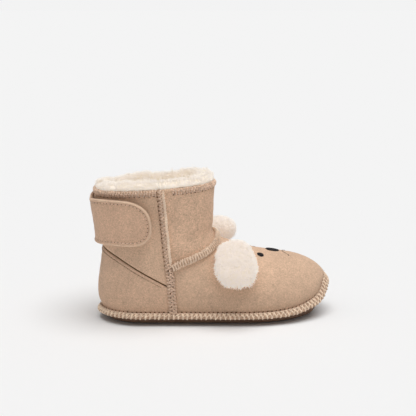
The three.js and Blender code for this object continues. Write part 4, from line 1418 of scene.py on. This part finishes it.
def band_relief(points, u, v):
    swell = 0.42 * np.sin(np.pi * np.clip(u, 0, 1)) ** 0.7
    return swell + 0.14 * noise(points, 2.2, 61) + 0.08 * noise(points, 1.0, 62)


def add_seam_thread(name, surface, side):
    """Loops across the band from both edges; those from the front edge only low down."""
    z = np.arange(7.6, 70.0, SEAM_PITCH)
    count = len(z)
    v = seam_v(z + jitter(0.12, count))
    out = normal_of(surface, 0.5, v) * -side
    rear, fore, middle = surface(0.02, v), surface(0.98, v), surface(0.5, v)
    half, full = middle - rear, fore - rear
    rising = catmull(np.stack([
        rear + out * 0.1,
        rear + out * 0.75 + half * 0.15,
        rear + half * 0.55 + out * 1.35 + UP * 0.25,
        rear + full * 0.55 + out * 1.2 + UP * 0.8,
        rear + full * 0.5 + out * 0.7 + UP * 1.0,
    ], 1), 10)
    falling = catmull(np.stack([
        rear + out * 0.1 + UP * 0.5,
        rear + out * 0.8 + half * 0.3,
        rear + half * 0.8 + out * 1.3 - UP * 0.3,
        fore + out * 1.0 - UP * 0.5,
        fore + out * 0.3 - UP * 0.6,
    ], 1), 10)
    from_front = catmull(np.stack([
        fore + out * 0.1,
        fore + out * 0.8 + (middle - fore) * 0.15,
        fore + (middle - fore) * 0.6 + out * 1.3 + UP * 0.4,
        middle + out * 1.0 + UP * 0.9,
    ], 1), 10)
    up, low = out[:, None], z < 31
    fat = 1 + jitter(0.25, count, 1)
    mesh = tubes(
        (rising, up, taper(10, 0.31) * fat),
        (falling, up, taper(10, 0.24) * fat),
        (from_front[low], up[low], taper(10, 0.27)),
    )
    add(name + "_side_seam_thread", mesh, THREAD_SEAM, "thread")


def add_seam_holes(name, surface, side):
    rear_z = np.arange(8.3, 69.5, SEAM_HOLE_PITCH)
    low = rear_z < 30
    # z, u of the holes, u of their normals, offset, radius and its spread
    rows = [
        (rear_z, np.where(low, 0.40, -0.02), 0.1, np.where(low, 1.42, 0.50), 0.44, 0.08),
        (np.arange(9.3, 28.5, SEAM_HOLE_PITCH), 0.74, 0.9, 1.36, 0.26, 0.1),
        (np.arange(33.4, 69.0, SEAM_HOLE_PITCH), 0.60, 0.5, 1.05, 0.30, 0.1),
    ]
    points, normals, radii = [], [], []
    for z, u, normal_u, offset, radius, spread in rows:
        v = seam_v(z)
        out = normal_of(surface, normal_u, v) * -side
        points.append(surface(u, v) + out * np.reshape(offset, (-1, 1)))
        normals.append(out)
        radii.append(radius + jitter(spread, len(z)))
    points, normals = np.vstack(points), np.vstack(normals)
    add_holes(name + "_side_seam_holes", points, normals, np.concatenate(radii), 0.34)


def add_seam_cord(name, surface, side):
    """Two twisted plies along the front edge of the band, above the vamp seam."""
    count, twist = 260, 2.5
    z = np.linspace(31.0, 70.2, count)
    out = normal_of(surface, 0.9, seam_v(z)) * -side
    middle = surface(1.02, seam_v(z)) + out * 0.95
    phase = ((z - z[0]) / twist * 2 * np.pi)[:, None]
    across = np.cross(out, unit(np.gradient(middle, axis=0)))
    middle = middle + (0.24 * noise(middle, 2.0, 64))[:, None] * across
    plies = np.stack([
        middle + 0.42 * (np.cos(phase + half) * out + np.sin(phase + half) * across)
        for half in (0, np.pi)
    ])
    radius = taper(count, 0.42) * (1 + 0.28 * noise(middle, 1.5, 65))
    mesh = tube(plies, across[None], radius)
    add(name + "_side_seam_cord", mesh, THREAD_CORD, "thread")


for name, side in SIDES:
    surface = seam_surface(side)
    mesh, _ = shell(surface, 0.75, 0.5, 0.5, (8, 110), sign=-side, relief=band_relief)
    add(name + "_side_seam_band", mesh, SUEDE_SEAM, "seam_suede", name + "_side_seam")
    add_seam_thread(name, surface, side)
    add_seam_holes(name, surface, side)
    add_seam_cord(name, surface, side)

# ------------------------------------------------------------------ vamp seam
ROLL_COUNT, ROLL_SIDES = 200, 14
ROLL_HALF, ROLL_PROUD = 1.75, 1.75  # half width and height of the roll
SEAM_START_X, SEAM_FRONT_X = float(seam_x(31.0)) + 2.0, 0.38


def soften(values):
    kernel = np.exp(-np.linspace(-2, 2, 13) ** 2)
    padded = np.concatenate([np.repeat(values[:1], 6), values, np.repeat(values[-1:], 6)])
    return np.convolve(padded, kernel / kernel.sum(), "valid")


def vamp_seam():
    """Points, directions and sizes along the seam between the vamp and the shaft."""
    t = np.linspace(0, 1, ROLL_COUNT)
    share, side = from_centre(t)
    x = mix(SEAM_FRONT_X, SEAM_START_X, share**1.25)
    points = on_side(x, vamp_seam_z(x), side)
    corner_x = seam_x(CORNER_Z)
    rise = SEAM_SHARE + (1 - SEAM_SHARE) * (x - corner_x) / (0.4 - corner_x)
    vamp_normal = normal_of(vamp_at, 0.02, np.where(side < 0, rise / 2, 1 - rise / 2))
    z = points[:, 2]
    q = bisect(lambda m: front_x(m, z) > x, np.zeros(x.shape), np.ones(x.shape))
    shaft_normal = normal_of(shaft_at, (1 + side * q) / 2, 0.04)
    for normal in (vamp_normal, shaft_normal):
        normal[share < 0.02, 1] = 0
    vamp_normal, shaft_normal = unit(vamp_normal), unit(shaft_normal)
    cosine = np.clip((vamp_normal * shaft_normal).sum(-1), -1, 1)
    opening = soften(np.minimum(np.tan(np.arccos(cosine) / 2), 0.9))
    out = unit(vamp_normal + shaft_normal)
    out = unit(np.stack([soften(out[:, k]) for k in range(3)], -1))
    ahead = unit(np.gradient(points, axis=0))
    front_share = smooth((0.5 - share) / 0.36)
    end = np.clip(np.minimum(t, 1 - t) / 0.035, 0, 1)
    return SimpleNamespace(
        t=t, points=points, out=out, ahead=ahead, across=unit(np.cross(out, ahead)),
        opening=opening,
        proud=ROLL_PROUD * (1 - 0.42 * front_share),
        base=0.30 + opening * ROLL_HALF * 0.75 * (1 - 0.40 * front_share),
        end=np.sqrt(1 - (1 - end) ** 2) * 0.75 + 0.25,
    )


def seam_rings(seam, profile, height):
    reach = ROLL_HALF * seam.end[:, None] * profile
    rings = seam.points[:, None] + seam.across[:, None] * reach[..., None]
    return rings + seam.out[:, None] * height[..., None]


def add_vamp_roll(seam):
    """The roll over the seam, and under it a dark strip shaped like the raw edges of the two
    panels, which paints the shade in the crease.
    """
    angle = np.linspace(0, 2 * np.pi, ROLL_SIDES, endpoint=False)
    sin = np.sin(angle)
    profile = signed_pow(np.cos(angle), 0.8)
    crown = np.where(sin > 0, np.abs(sin) ** 0.75, -0.35 * np.abs(sin))
    proud = (seam.proud + 0.10 * noise(seam.points, 2.6, 77)) * seam.end
    height = seam.base[:, None] + proud[:, None] * crown
    mesh = closed_tube(seam_rings(seam, profile, height))
    add("vamp_seam_roll", mesh, SUEDE_ROLL, "seam_suede", "vamp_seam")
    # painted shade: a dark strip in the crease under the roll
    drop = seam.opening[:, None] * ROLL_HALF * np.abs(profile) * 0.92
    mesh = closed_tube(seam_rings(seam, profile, 0.05 + 0.28 * sin - drop))
    add("vamp_seam_crease_shade", mesh, HOLE_SHADE, "seam_suede")


def add_vamp_thread(seam):
    t = along(seam.points, 1.32)
    count = len(t)
    points = sample(seam.points, t)
    out, across, ahead = (unit(sample(d, t)) for d in (seam.out, seam.across, seam.ahead))
    base, proud, end = (np.interp(t, seam.t, s) for s in (seam.base, seam.proud, seam.end))
    # turned towards the shaft
    across = across * np.where(across[:, 2] > 0, 1.0, -1.0)[:, None]

    def over_roll(lean, extra):
        controls = []
        for degrees in (-12, 12, 45, 78, 112, 145, 172, 196):
            angle = math.radians(degrees)
            cos, sin = math.cos(angle), max(math.sin(angle), -0.2)
            reach = ROLL_HALF * end * signed_pow(cos, 0.8) + np.sign(cos) * extra * 0.6
            height = base + proud * end * signed_pow(sin, 0.75) + extra
            shift = ahead * ((degrees / 180 - 0.5) * lean)
            controls.append(points - across * reach[:, None] + out * height[:, None] + shift)
        return catmull(np.stack(controls, 1), 15)

    thick_loops = over_roll(1.5 + jitter(0.9, count, 1), 0.10)
    thin_loops = over_roll(-1.1 + jitter(0.9, count, 1), 0.02)
    up = out[:, None] + 0.01
    fat = 1 + jitter(0.25, count, 1)
    mesh = tubes(
        (thick_loops, up, taper(15, 0.30) * fat), (thin_loops, up, taper(15, 0.22) * fat)
    )
    add("vamp_seam_thread", mesh, THREAD_ROLL, "thread")


seam = vamp_seam()
add_vamp_roll(seam)
add_vamp_thread(seam)


# ------------------------------------------------------------------ heel edge stitch
def add_heel_stitch(inset=1.7):
    u = mix(0.035, 0.965, np.linspace(0, 1, 500))
    v = 1 - inset / (heel_top(np.abs(2 * u - 1)) - needle_z(-50.0))
    out = -normal_of(heel_at, u, v)
    stitches, holes, normals = running(heel_at(u, v) + out * 0.02, out, pitch=2.15, radius=0.19)
    add("heel_edge_thread", tubes(stitches), THREAD_DIM, "shadow_thread", "heel_edge_stitch")
    add_holes("heel_edge_holes", holes - normals * 0.02, normals, 0.24, 0.16)


add_heel_stitch()

# ------------------------------------------------------------------ strap
STRAP_THICK, BACKING_THICK = 1.2, 0.8
BACKING_DEPTH = 1.5  # from the strap's outer face
STITCH_INSET = 1.85
# hinge across the centre back, with the strap's fixed end on the inner side; add() does not bend
# the strap at it
STRAP_HINGE = ("strap_base", "strap_tab", (-65.0, 11.5, 53), (-65.0, -11.5, 53))

# Length along the strap's middle over s
ARC_S = np.linspace(-1, 1, 801)
ARC_LENGTH = distances(strap_at(ARC_S, 0))
TIP_ANGLE = np.linspace(0, np.pi / 2, 160)
TIP_REACH = np.sin(TIP_ANGLE) ** (2 / TIP_POWER)
TIP_WIDTH = np.cos(TIP_ANGLE) ** (2 / TIP_POWER)


def arc(s):
    return np.interp(s, ARC_S, ARC_LENGTH)


def strap_outline():
    """The strap's outline as a flat strip: x along, z across."""
    s = np.r_[np.linspace(-1, TIP_START, 400)[:-1], TIP_START + (1 - TIP_START) * TIP_REACH]
    x, z = arc(s), np.r_[np.ones(399), TIP_WIDTH] * STRAP_HALF
    return np.vstack([np.stack([x, z], -1), np.stack([x, -z], -1)[::-1]])


OUTLINE = strap_outline()


def strap_distance(s, w):
    """Distance from the strap's outline, measured on the flat strip."""
    x, z = arc(s), w * strap_half(s)
    points = np.stack([x.ravel(), z.ravel()], -1)
    out = np.empty(len(points))
    for k in range(0, len(points), 4000):  # in blocks, to save memory
        gaps = points[k : k + 4000, None] - OUTLINE[None]
        out[k : k + 4000] = np.sqrt((gaps**2).sum(-1)).min(1)
    return out.reshape(x.shape)


def strap_grid(flat_count, tip_count, width_count):
    angle = np.linspace(0, np.pi / 2, tip_count)
    tip = TIP_START + (1 - TIP_START) * np.sin(angle) ** (2 / TIP_POWER)
    s = np.r_[np.linspace(-1, TIP_START, flat_count)[:-1], tip]
    quarter = np.pi / 2 * 0.92
    w = np.sin(np.linspace(-1, 1, width_count) * quarter) / math.sin(quarter)
    return np.meshgrid((s + 1) / 2, (w + 1) / 2, indexing="ij")


def strap_sheet(depth, thick, inset, radius, relief, grid):
    """Mesh and the edge mask of the painted highlight with rubbed wear of one layer, `depth` under
    the strap's outer face.
    """
    shorten = 1 - 0.012 * (inset > 0)

    def surface(u, v):
        return strap_at((2 * u - 1) * shorten, 2 * v - 1, inset)

    def outer(u, v):
        return strap_out(2 * u - 1, 2 * v - 1) - depth

    def distance(u, v):
        s = 2 * u - 1
        return np.minimum(strap_distance(s, 2 * v - 1), arc(s))

    (verts, faces), (face, _, u, v) = shell(
        surface, outer, thick, radius, relief=relief, grid=strap_grid(*grid), distance=distance
    )
    # mask of the painted highlight with rubbed wear along the outline
    shade = hill(distance(u, v) - 0.35, 0.75) * (0.75 + 0.35 * noise(face, 2.5, 44))
    return (verts, outward(verts, faces)), np.r_[shade.ravel(), 0.5 * shade.ravel()]


def strap_relief(points, u, v):
    gap = strap_distance(2 * u - 1, 2 * v - 1)
    bead = 0.34 * hill(gap - 0.85, 0.55) - 0.30 * hill(gap - 1.85, 0.42)
    return bead + hide_relief(points, 0.12, 9.0, 25, grain=1.6)


def add_strap():
    mesh, shade = strap_sheet(0, STRAP_THICK, 0, 0.62, strap_relief, (150, 34, 44))
    add("closing_strap_suede", mesh, SUEDE_STRAP, "suede_shaft", "strap_base", "strap_tab",
        hinge=STRAP_HINGE, shade=shade)
    mesh, _ = strap_sheet(
        BACKING_DEPTH, BACKING_THICK, 0.5, 0.4,
        lambda points, u, v: 0.05 * noise(points, 1.4, 35), (110, 26, 26),
    )
    add("closing_strap_backing", mesh, SUEDE_SEAM, "suede_shaft",
        "strap_base_backing", "strap_tab_backing", hinge=STRAP_HINGE)


def add_strap_stitching():
    tip_x, half = float(arc(TIP_START)), STRAP_HALF - STITCH_INSET
    tip_run = ARC_LENGTH[-1] - STITCH_INSET - tip_x
    x = np.r_[np.linspace(1.5, tip_x, 300)[:-1], tip_x + tip_run * TIP_REACH]
    z = np.r_[np.full(299, half), half * TIP_WIDTH]
    x, z = np.r_[x, x[::-1][1:]], np.r_[z, -z[::-1][1:]]
    s = np.interp(x, ARC_LENGTH, ARC_S)
    w = np.clip(z / np.maximum(strap_half(s), 1e-3), -1, 1)
    out = normal_of(strap_uv, (s + 1) / 2, (w + 1) / 2)
    path = strap_at(s, w) + out * strap_out(s, w)[:, None]
    stitches, holes, normals = running(path - out * 0.16, out, pitch=2.0, radius=0.2, lift=0.10)
    add("strap_edge_thread", tubes(stitches), THREAD_SEAM, "thread", "strap_edge_stitch",
        hinge=STRAP_HINGE)
    add_holes("strap_needle_holes", holes - normals * 0.05, normals,
              0.33 + jitter(0.05, len(holes)), 0.16, hinge=STRAP_HINGE)


add_strap()
add_strap_stitching()

# ------------------------------------------------------------------ hook and loop fastening
HOOK_SPAN = (0.55, 0.93, 0.16, 0.84)
LOOP_SPAN = (0.53, 0.95, 0.13, 0.87)
HOOK_DEPTH, HOOK_THICK = 2.6, 0.45  # depth under the strap's outer face


def tab_at(u, v):
    return strap_at(u, 2 * v - 1)


def hook_out(u, v):
    return strap_out(u, 0.0) - HOOK_DEPTH


def add_hooks():
    """The patch under the tab, with its small hooks turned alternately both ways."""
    patch, _ = shell(tab_at, hook_out, HOOK_THICK, 0.3, (40, 26), span=HOOK_SPAN)
    rows = np.meshgrid(np.linspace(0.04, 0.96, 15), np.linspace(0.06, 0.94, 12), indexing="ij")
    u, v = mix(*HOOK_SPAN[:2], rows[0].ravel()), mix(*HOOK_SPAN[2:], rows[1].ravel())
    points, out = tab_at(u, v), normal_of(tab_at, u, v)
    base = points + out * (hook_out(u, v) - HOOK_THICK)[:, None]
    along_ = unit(tab_at(np.clip(u + 0.01, 0, 1), v) - points)
    turn = along_ * np.where(np.arange(len(u)) % 2 == 0, 1.0, -1.0)[:, None]
    controls = [
        base + out * 0.12,
        base - out * 0.2,
        base - out * 0.36 + turn * 0.14,
        base - out * 0.34 + turn * 0.32,
        base - out * 0.22 + turn * 0.38,
    ]
    up = np.cross(out, along_)[:, None] + 0.01
    hooks = tube(catmull(np.stack(controls, 1), 8), up, taper(8, 0.09), sides=5)
    add("hook_fastener", merge([patch, hooks]), HOOK_TAPE, "hook_tape", "hook_patch",
        body="strap_tab")


def add_loops():
    """The looped patch on the outer flap."""
    patch, (face, normals, _, _) = shell(tab_at, 0.55, 0.35, 0.3, (40, 26), span=LOOP_SPAN)
    points, out = scatter(face, normals, hairs(1800), 300)
    rng = np.random.default_rng(301)
    across = unit(np.cross(out, rng.normal(0, 1, out.shape)))
    size = rng.uniform(0.25, 0.45, (len(points), 1))
    controls = [
        points - out * 0.1,
        points + out * 0.3 + across * size * 0.3,
        points + out * 0.5 + across * size,
        points + out * 0.28 + across * size * 1.8,
        points - out * 0.05 + across * size * 1.7,
    ]
    up = np.cross(out, across)[:, None] + 0.01
    loops = tube(catmull(np.stack(controls, 1), 8), up, taper(8, 0.045), sides=3)
    add("loop_fastener", merge([patch, loops]), LOOP_TAPE, "loop_tape", "loop_patch",
        body="outer_flap")


add_hooks()
add_loops()

# ------------------------------------------------------------------ ears
EAR_Y, EAR_Z = 13.2, 40.6  # root of the ears
# lift: radians about X; swing: degrees in the ear's plane; middle, half: the cushion's
# centre and half length; front, rear: its bulges; rear_weight: share of hairs behind;
# leaf: half width and half length of the suede leaf
EARS = {
    "outer": dict(side=-1, lift=0.0, seed=500, root_x=7.0, middle=13.7, half=11.6, front=5.4,
                  rear=1.5, swing=0.0, rear_weight=0.28, leaf=(7.6, 10.4)),
    "inner": dict(side=1, lift=0.44, seed=540, root_x=6.4, middle=12.4, half=12.0, front=6.2,
                  rear=4.4, swing=10.0, rear_weight=0.8, leaf=(6.2, 9.0)),
}


def ear_frame(side, lift, root_x, swing):
    """Root, down and out directions, and a function that turns ear vectors into the boot's."""
    lift_cos, lift_sin = math.cos(side * lift), math.sin(side * lift)

    def lifted(y, z):
        return np.array([
            0, side * y * lift_cos - z * lift_sin, side * y * lift_sin + z * lift_cos
        ])

    down, out = lifted(0.63, -0.777), lifted(0.777, 0.63)
    cos, sin = math.cos(math.radians(swing)), math.sin(math.radians(swing))

    def direction(across, length, height):
        x, d = across * cos - length * sin, across * sin + length * cos
        return (np.array([1.0, 0, 0]) * x[..., None] + down * d[..., None]
                + out * height[..., None])

    return np.array([root_x, side * EAR_Y, EAR_Z]), down, out, direction


def ear_cushion(frame, seed, middle, half, front, rear):
    """Leaf shaped cushion, broad towards its free end and flatter behind.

    Returns its grid, normals and the ball's y, which is positive in front.
    """
    root, _, _, direction = frame
    rows, cols = 48, 72
    polar_angle, angle = polar(np.linspace(0.0, np.pi, rows), cols)
    x = np.sin(polar_angle) * np.cos(angle)
    y = np.sin(polar_angle) * np.sin(angle)
    z = np.cos(polar_angle)
    x[[0, -1]], y[[0, -1]] = 0, 0
    z[0], z[-1] = 1, -1
    full = np.where(z < 0, np.maximum(np.hypot(x, y), 1e-3) ** -0.2, 1.0)
    x, y = x * full, y * full
    grid = root + direction(
        9.1 * (1 + 0.11 * z) * signed_pow(x, 0.85),
        middle + half * signed_pow(z, 0.9),
        3.3 + np.where(y > 0, front * y, rear * y),
    )
    ball = unit(np.stack([x / 9.6, y / np.where(y > 0, 5.4, 2.2), z / 12.6], -1))
    normals = unit(direction(ball[..., 0], ball[..., 2], ball[..., 1]))
    lumps = 0.55 * fractal(grid, 3.8, seed)
    fade = np.sin(np.linspace(0, np.pi, rows))[:, None, None]
    return grid + normals * lumps[..., None] * fade, normals, y


def cushion_mesh(grid):
    """The grid's first and last rows become single end points."""
    rows, cols = grid.shape[:2]
    verts = np.vstack([grid[1:-1].reshape(-1, 3), grid[0, :1], grid[-1, :1]])
    j = np.arange(cols)
    j2 = (j + 1) % cols
    end, last = (rows - 2) * cols, (rows - 3) * cols
    first_cap = np.stack([j, j2, np.full(cols, end)], -1)
    last_cap = np.stack([last + j2, last + j, np.full(cols, end + 1)], -1)
    body = outward(verts, [grid_faces(rows - 2, cols, wrap_cols=True)])
    return verts, body + [first_cap, last_cap]


def wrapped(grid):
    return np.concatenate([grid, grid[:, :1]], 1)


def add_ear(
    name, side, lift, seed, root_x, middle, half, front, rear, swing, rear_weight, leaf
):
    frame = ear_frame(side, lift, root_x, swing)
    root, down, out, direction = frame
    grid, normals, y = ear_cushion(frame, seed, middle, half, front, rear)
    weight = np.where(wrapped(y) > -0.25, 1.0, rear_weight)
    count = 7400
    points, facing = scatter(wrapped(grid), wrapped(normals), count, seed + 1, weight)
    # the hairs droop and grow longer towards the free end
    t = ((points - root) @ down - middle) / half
    length = 2.5 + 0.5 * np.clip(t, 0, 1) - 0.5 * np.clip(-t, 0, 1)
    pile = fibres(
        points - facing * 0.5, facing, length, lean=down * 0.35 + out * 0.1,
        radii=(0.17, 0.06), curl=0.5, seed=seed + 2, clump=2.4, pull=0.27,
    )
    ear = name + "_ear"
    add_wool(ear + "_wool", WOOL_EAR, cushion_mesh(grid), 0.55, [pile], "ear_fleece",
             ear + "_fleece", body=ear)
    # suede leaf behind the wool
    radius, angle = polar(np.r_[0.03, np.linspace(0.15, 0.9, 9), 0.95, 0.985, 1.0], 64)
    rounding = np.maximum(1 - np.clip((radius - 0.9) / 0.1, 0, 1) ** 2, 0.02)
    thick = 0.22 * np.sqrt(rounding)
    x = leaf[0] * radius * np.cos(angle)
    d = 11.0 + leaf[1] * radius * np.sin(angle)
    bow = 0.7 + 0.1 * noise(np.stack([x, d, 0 * x], -1), 6, seed)
    mesh = disc(root + direction(x, d, bow + thick), root + direction(x, d, bow - thick))
    add(ear + "_leaf_suede", mesh, SUEDE_VAMP, "suede_vamp", ear + "_leaf", body=ear)


for name, shape in EARS.items():
    add_ear(name, **shape)


# ------------------------------------------------------------------ face
def top_at(x, y):
    """Point on top of the vamp over x, y."""
    x, y = pair(x, y)
    low = needle_z(x) + 0.45 * (crest(x) - needle_z(x))
    z = bisect(lambda middle: width(x, middle) > np.abs(y), low, crest(x))
    return np.stack([x, y, z], -1)


def top_normal(x, y, step=0.5):
    x, y = pair(x, y)
    dx = top_at(x + step, y) - top_at(x - step, y)
    return unit(np.cross(dx, top_at(x, y + step) - top_at(x, y - step)))


def add_satin(name, node, centre, half, height, stand=0.08, radius=0.2, pitch=0.34):
    """Satin stitch: parallel threads along X over a padded oval."""
    (x0, y0), (half_x, half_y) = centre, half
    share, angle = polar(np.linspace(0.04, 0.92, 12), 48)
    x, y = x0 + half_x * share * np.cos(angle), y0 + half_y * share * np.sin(angle)
    points, normals = top_at(x, y), top_normal(x, y)
    dome = np.sqrt(np.maximum(1 - share**2, 0))
    top = points + normals * (stand * 0.6 + height * 0.75 * dome)[..., None]
    pad = disc(top, points - normals * 0.12)
    steps = 13
    t = np.linspace(-1, 1, steps)
    paths, ups = [], []
    for row in np.arange(-half_y + pitch * 0.5, half_y, pitch):
        reach = half_x * math.sqrt(max(1 - (row / half_y) ** 2, 0.0)) + RNG.uniform(-0.1, 0.12)
        x = x0 + reach * t
        y = np.full(steps, y0 + row) + RNG.uniform(-0.04, 0.04)
        points, normals = top_at(x, y), top_normal(x, y)
        spread = np.clip(((x - x0) / half_x) ** 2 + ((y - y0) / half_y) ** 2, 0, 1)
        lift = height * np.sqrt(1 - spread) * 0.8 + stand - 0.35 * (np.abs(t) > 0.97)
        paths.append(points + normals * lift[:, None])
        ups.append(normals)
    threads = tube(np.stack(paths), np.stack(ups), taper(steps, radius))
    add(name, merge([pad, threads]), FACE, "face_thread", node)


def add_mouth():
    x, y = np.array([
        (38.6, -5.8), (37.2, -3.4), (36.2, -1.2), (36.2, 1.2), (37.2, 3.4), (38.6, 5.8)
    ]).T
    curve = catmull(np.stack([x, y, 0 * x], -1)[None], 200)[0]
    points, out = top_at(curve[:, 0], curve[:, 1]), top_normal(curve[:, 0], curve[:, 1])
    stitches, _, _ = running(points + out * 0.05, out, pitch=1.55, radius=0.09, gap=0.1, lift=0.08)
    add("mouth_thread", tubes(stitches), MOUTH, "face_thread", "mouth_stitch")
    ends = [3, -4]
    knots = lens(points[ends] + out[ends] * 0.08, out[ends], 0.4, 0.2)
    add("mouth_end_knots", knots, FACE, "face_thread")


add_satin("nose_embroidery", "nose", (30.9, 0.5), (3.8, 3.4), height=0.24)
add_satin("outer_eye_embroidery", "outer_eye", (22.5, -9.6), (1.85, 1.75), height=0.45)
add_satin("inner_eye_embroidery", "inner_eye", (22.5, 11.0), (1.85, 1.75), height=0.08,
          stand=0.0, radius=0.15, pitch=0.26)
add_mouth()

# ------------------------------------------------------------------ floor, light, camera
# Metres in this section, except where scaled by MM
FLOOR_SIZE, FLOOR_Z = 400, -0.0002
SKY_STRENGTH = 0.31  # light from the world
BACKDROP_STRENGTH = 0.896  # the world as the camera sees it
SUN_STRENGTH, SUN_ANGLE = 2.30, 54  # angle in degrees, for soft shadows
SUN_DIRECTION = (-0.10, 0.18, -1.0)
SENSOR_WIDTH, VIEW_ANGLE = 36, 22.984  # degrees across the sensor
CAMERA_TARGET, CAMERA_DISTANCE = (-3.694, 0, 56.376), 534.6  # millimetres
CAMERA_TURN, CAMERA_TILT = 8, 11  # degrees from +Y towards +X, and downwards


def add_floor():
    bpy.ops.mesh.primitive_plane_add(size=FLOOR_SIZE, location=(0, 0, FLOOR_Z))
    floor = bpy.context.object
    floor.name = "studio_floor"
    material = Shader("studio_floor").finish((0.88, 0.88, 0.88, 1), 1.0, specular=0.0)
    floor.data.materials.append(material)


def add_world():
    world = bpy.data.worlds.new("studio")
    bpy.context.scene.world = world
    world.use_nodes = True
    tree = world.node_tree
    tree.nodes.clear()
    output = tree.nodes.new("ShaderNodeOutputWorld")
    choice = tree.nodes.new("ShaderNodeMixShader")
    path = tree.nodes.new("ShaderNodeLightPath")
    tree.links.new(path.outputs["Is Camera Ray"], choice.inputs[0])
    for i, strength in enumerate((SKY_STRENGTH, BACKDROP_STRENGTH), 1):
        background = tree.nodes.new("ShaderNodeBackground")
        background.inputs[0].default_value = (1, 1, 1, 1)
        background.inputs[1].default_value = strength
        tree.links.new(background.outputs[0], choice.inputs[i])
    tree.links.new(choice.outputs[0], output.inputs[0])


def place(name, data, look):
    """Object that looks along a direction."""
    obj = bpy.data.objects.new(name, data)
    bpy.context.scene.collection.objects.link(obj)
    obj.rotation_euler = look.to_track_quat("-Z", "Y").to_euler()
    return obj


def add_sun():
    light = bpy.data.lights.new("key", "SUN")
    light.energy = SUN_STRENGTH
    light.angle = math.radians(SUN_ANGLE)
    light.color = (1, 1, 1)
    place("key", light, Vector(SUN_DIRECTION))


def add_camera():
    data = bpy.data.cameras.new("camera")
    data.sensor_width = SENSOR_WIDTH
    data.lens = SENSOR_WIDTH / (2 * math.tan(math.radians(VIEW_ANGLE) / 2))
    data.clip_end = 100
    turn, tilt = math.radians(CAMERA_TURN), math.radians(CAMERA_TILT)
    look = Vector((
        math.sin(turn) * math.cos(tilt), math.cos(turn) * math.cos(tilt), -math.sin(tilt)
    ))
    camera = place("camera", data, look)
    camera.location = Vector(CAMERA_TARGET) * MM - look * CAMERA_DISTANCE * MM
    bpy.context.scene.camera = camera


add_floor()
add_world()
add_sun()
add_camera()
bpy.context.scene.view_settings.view_transform = "Standard"
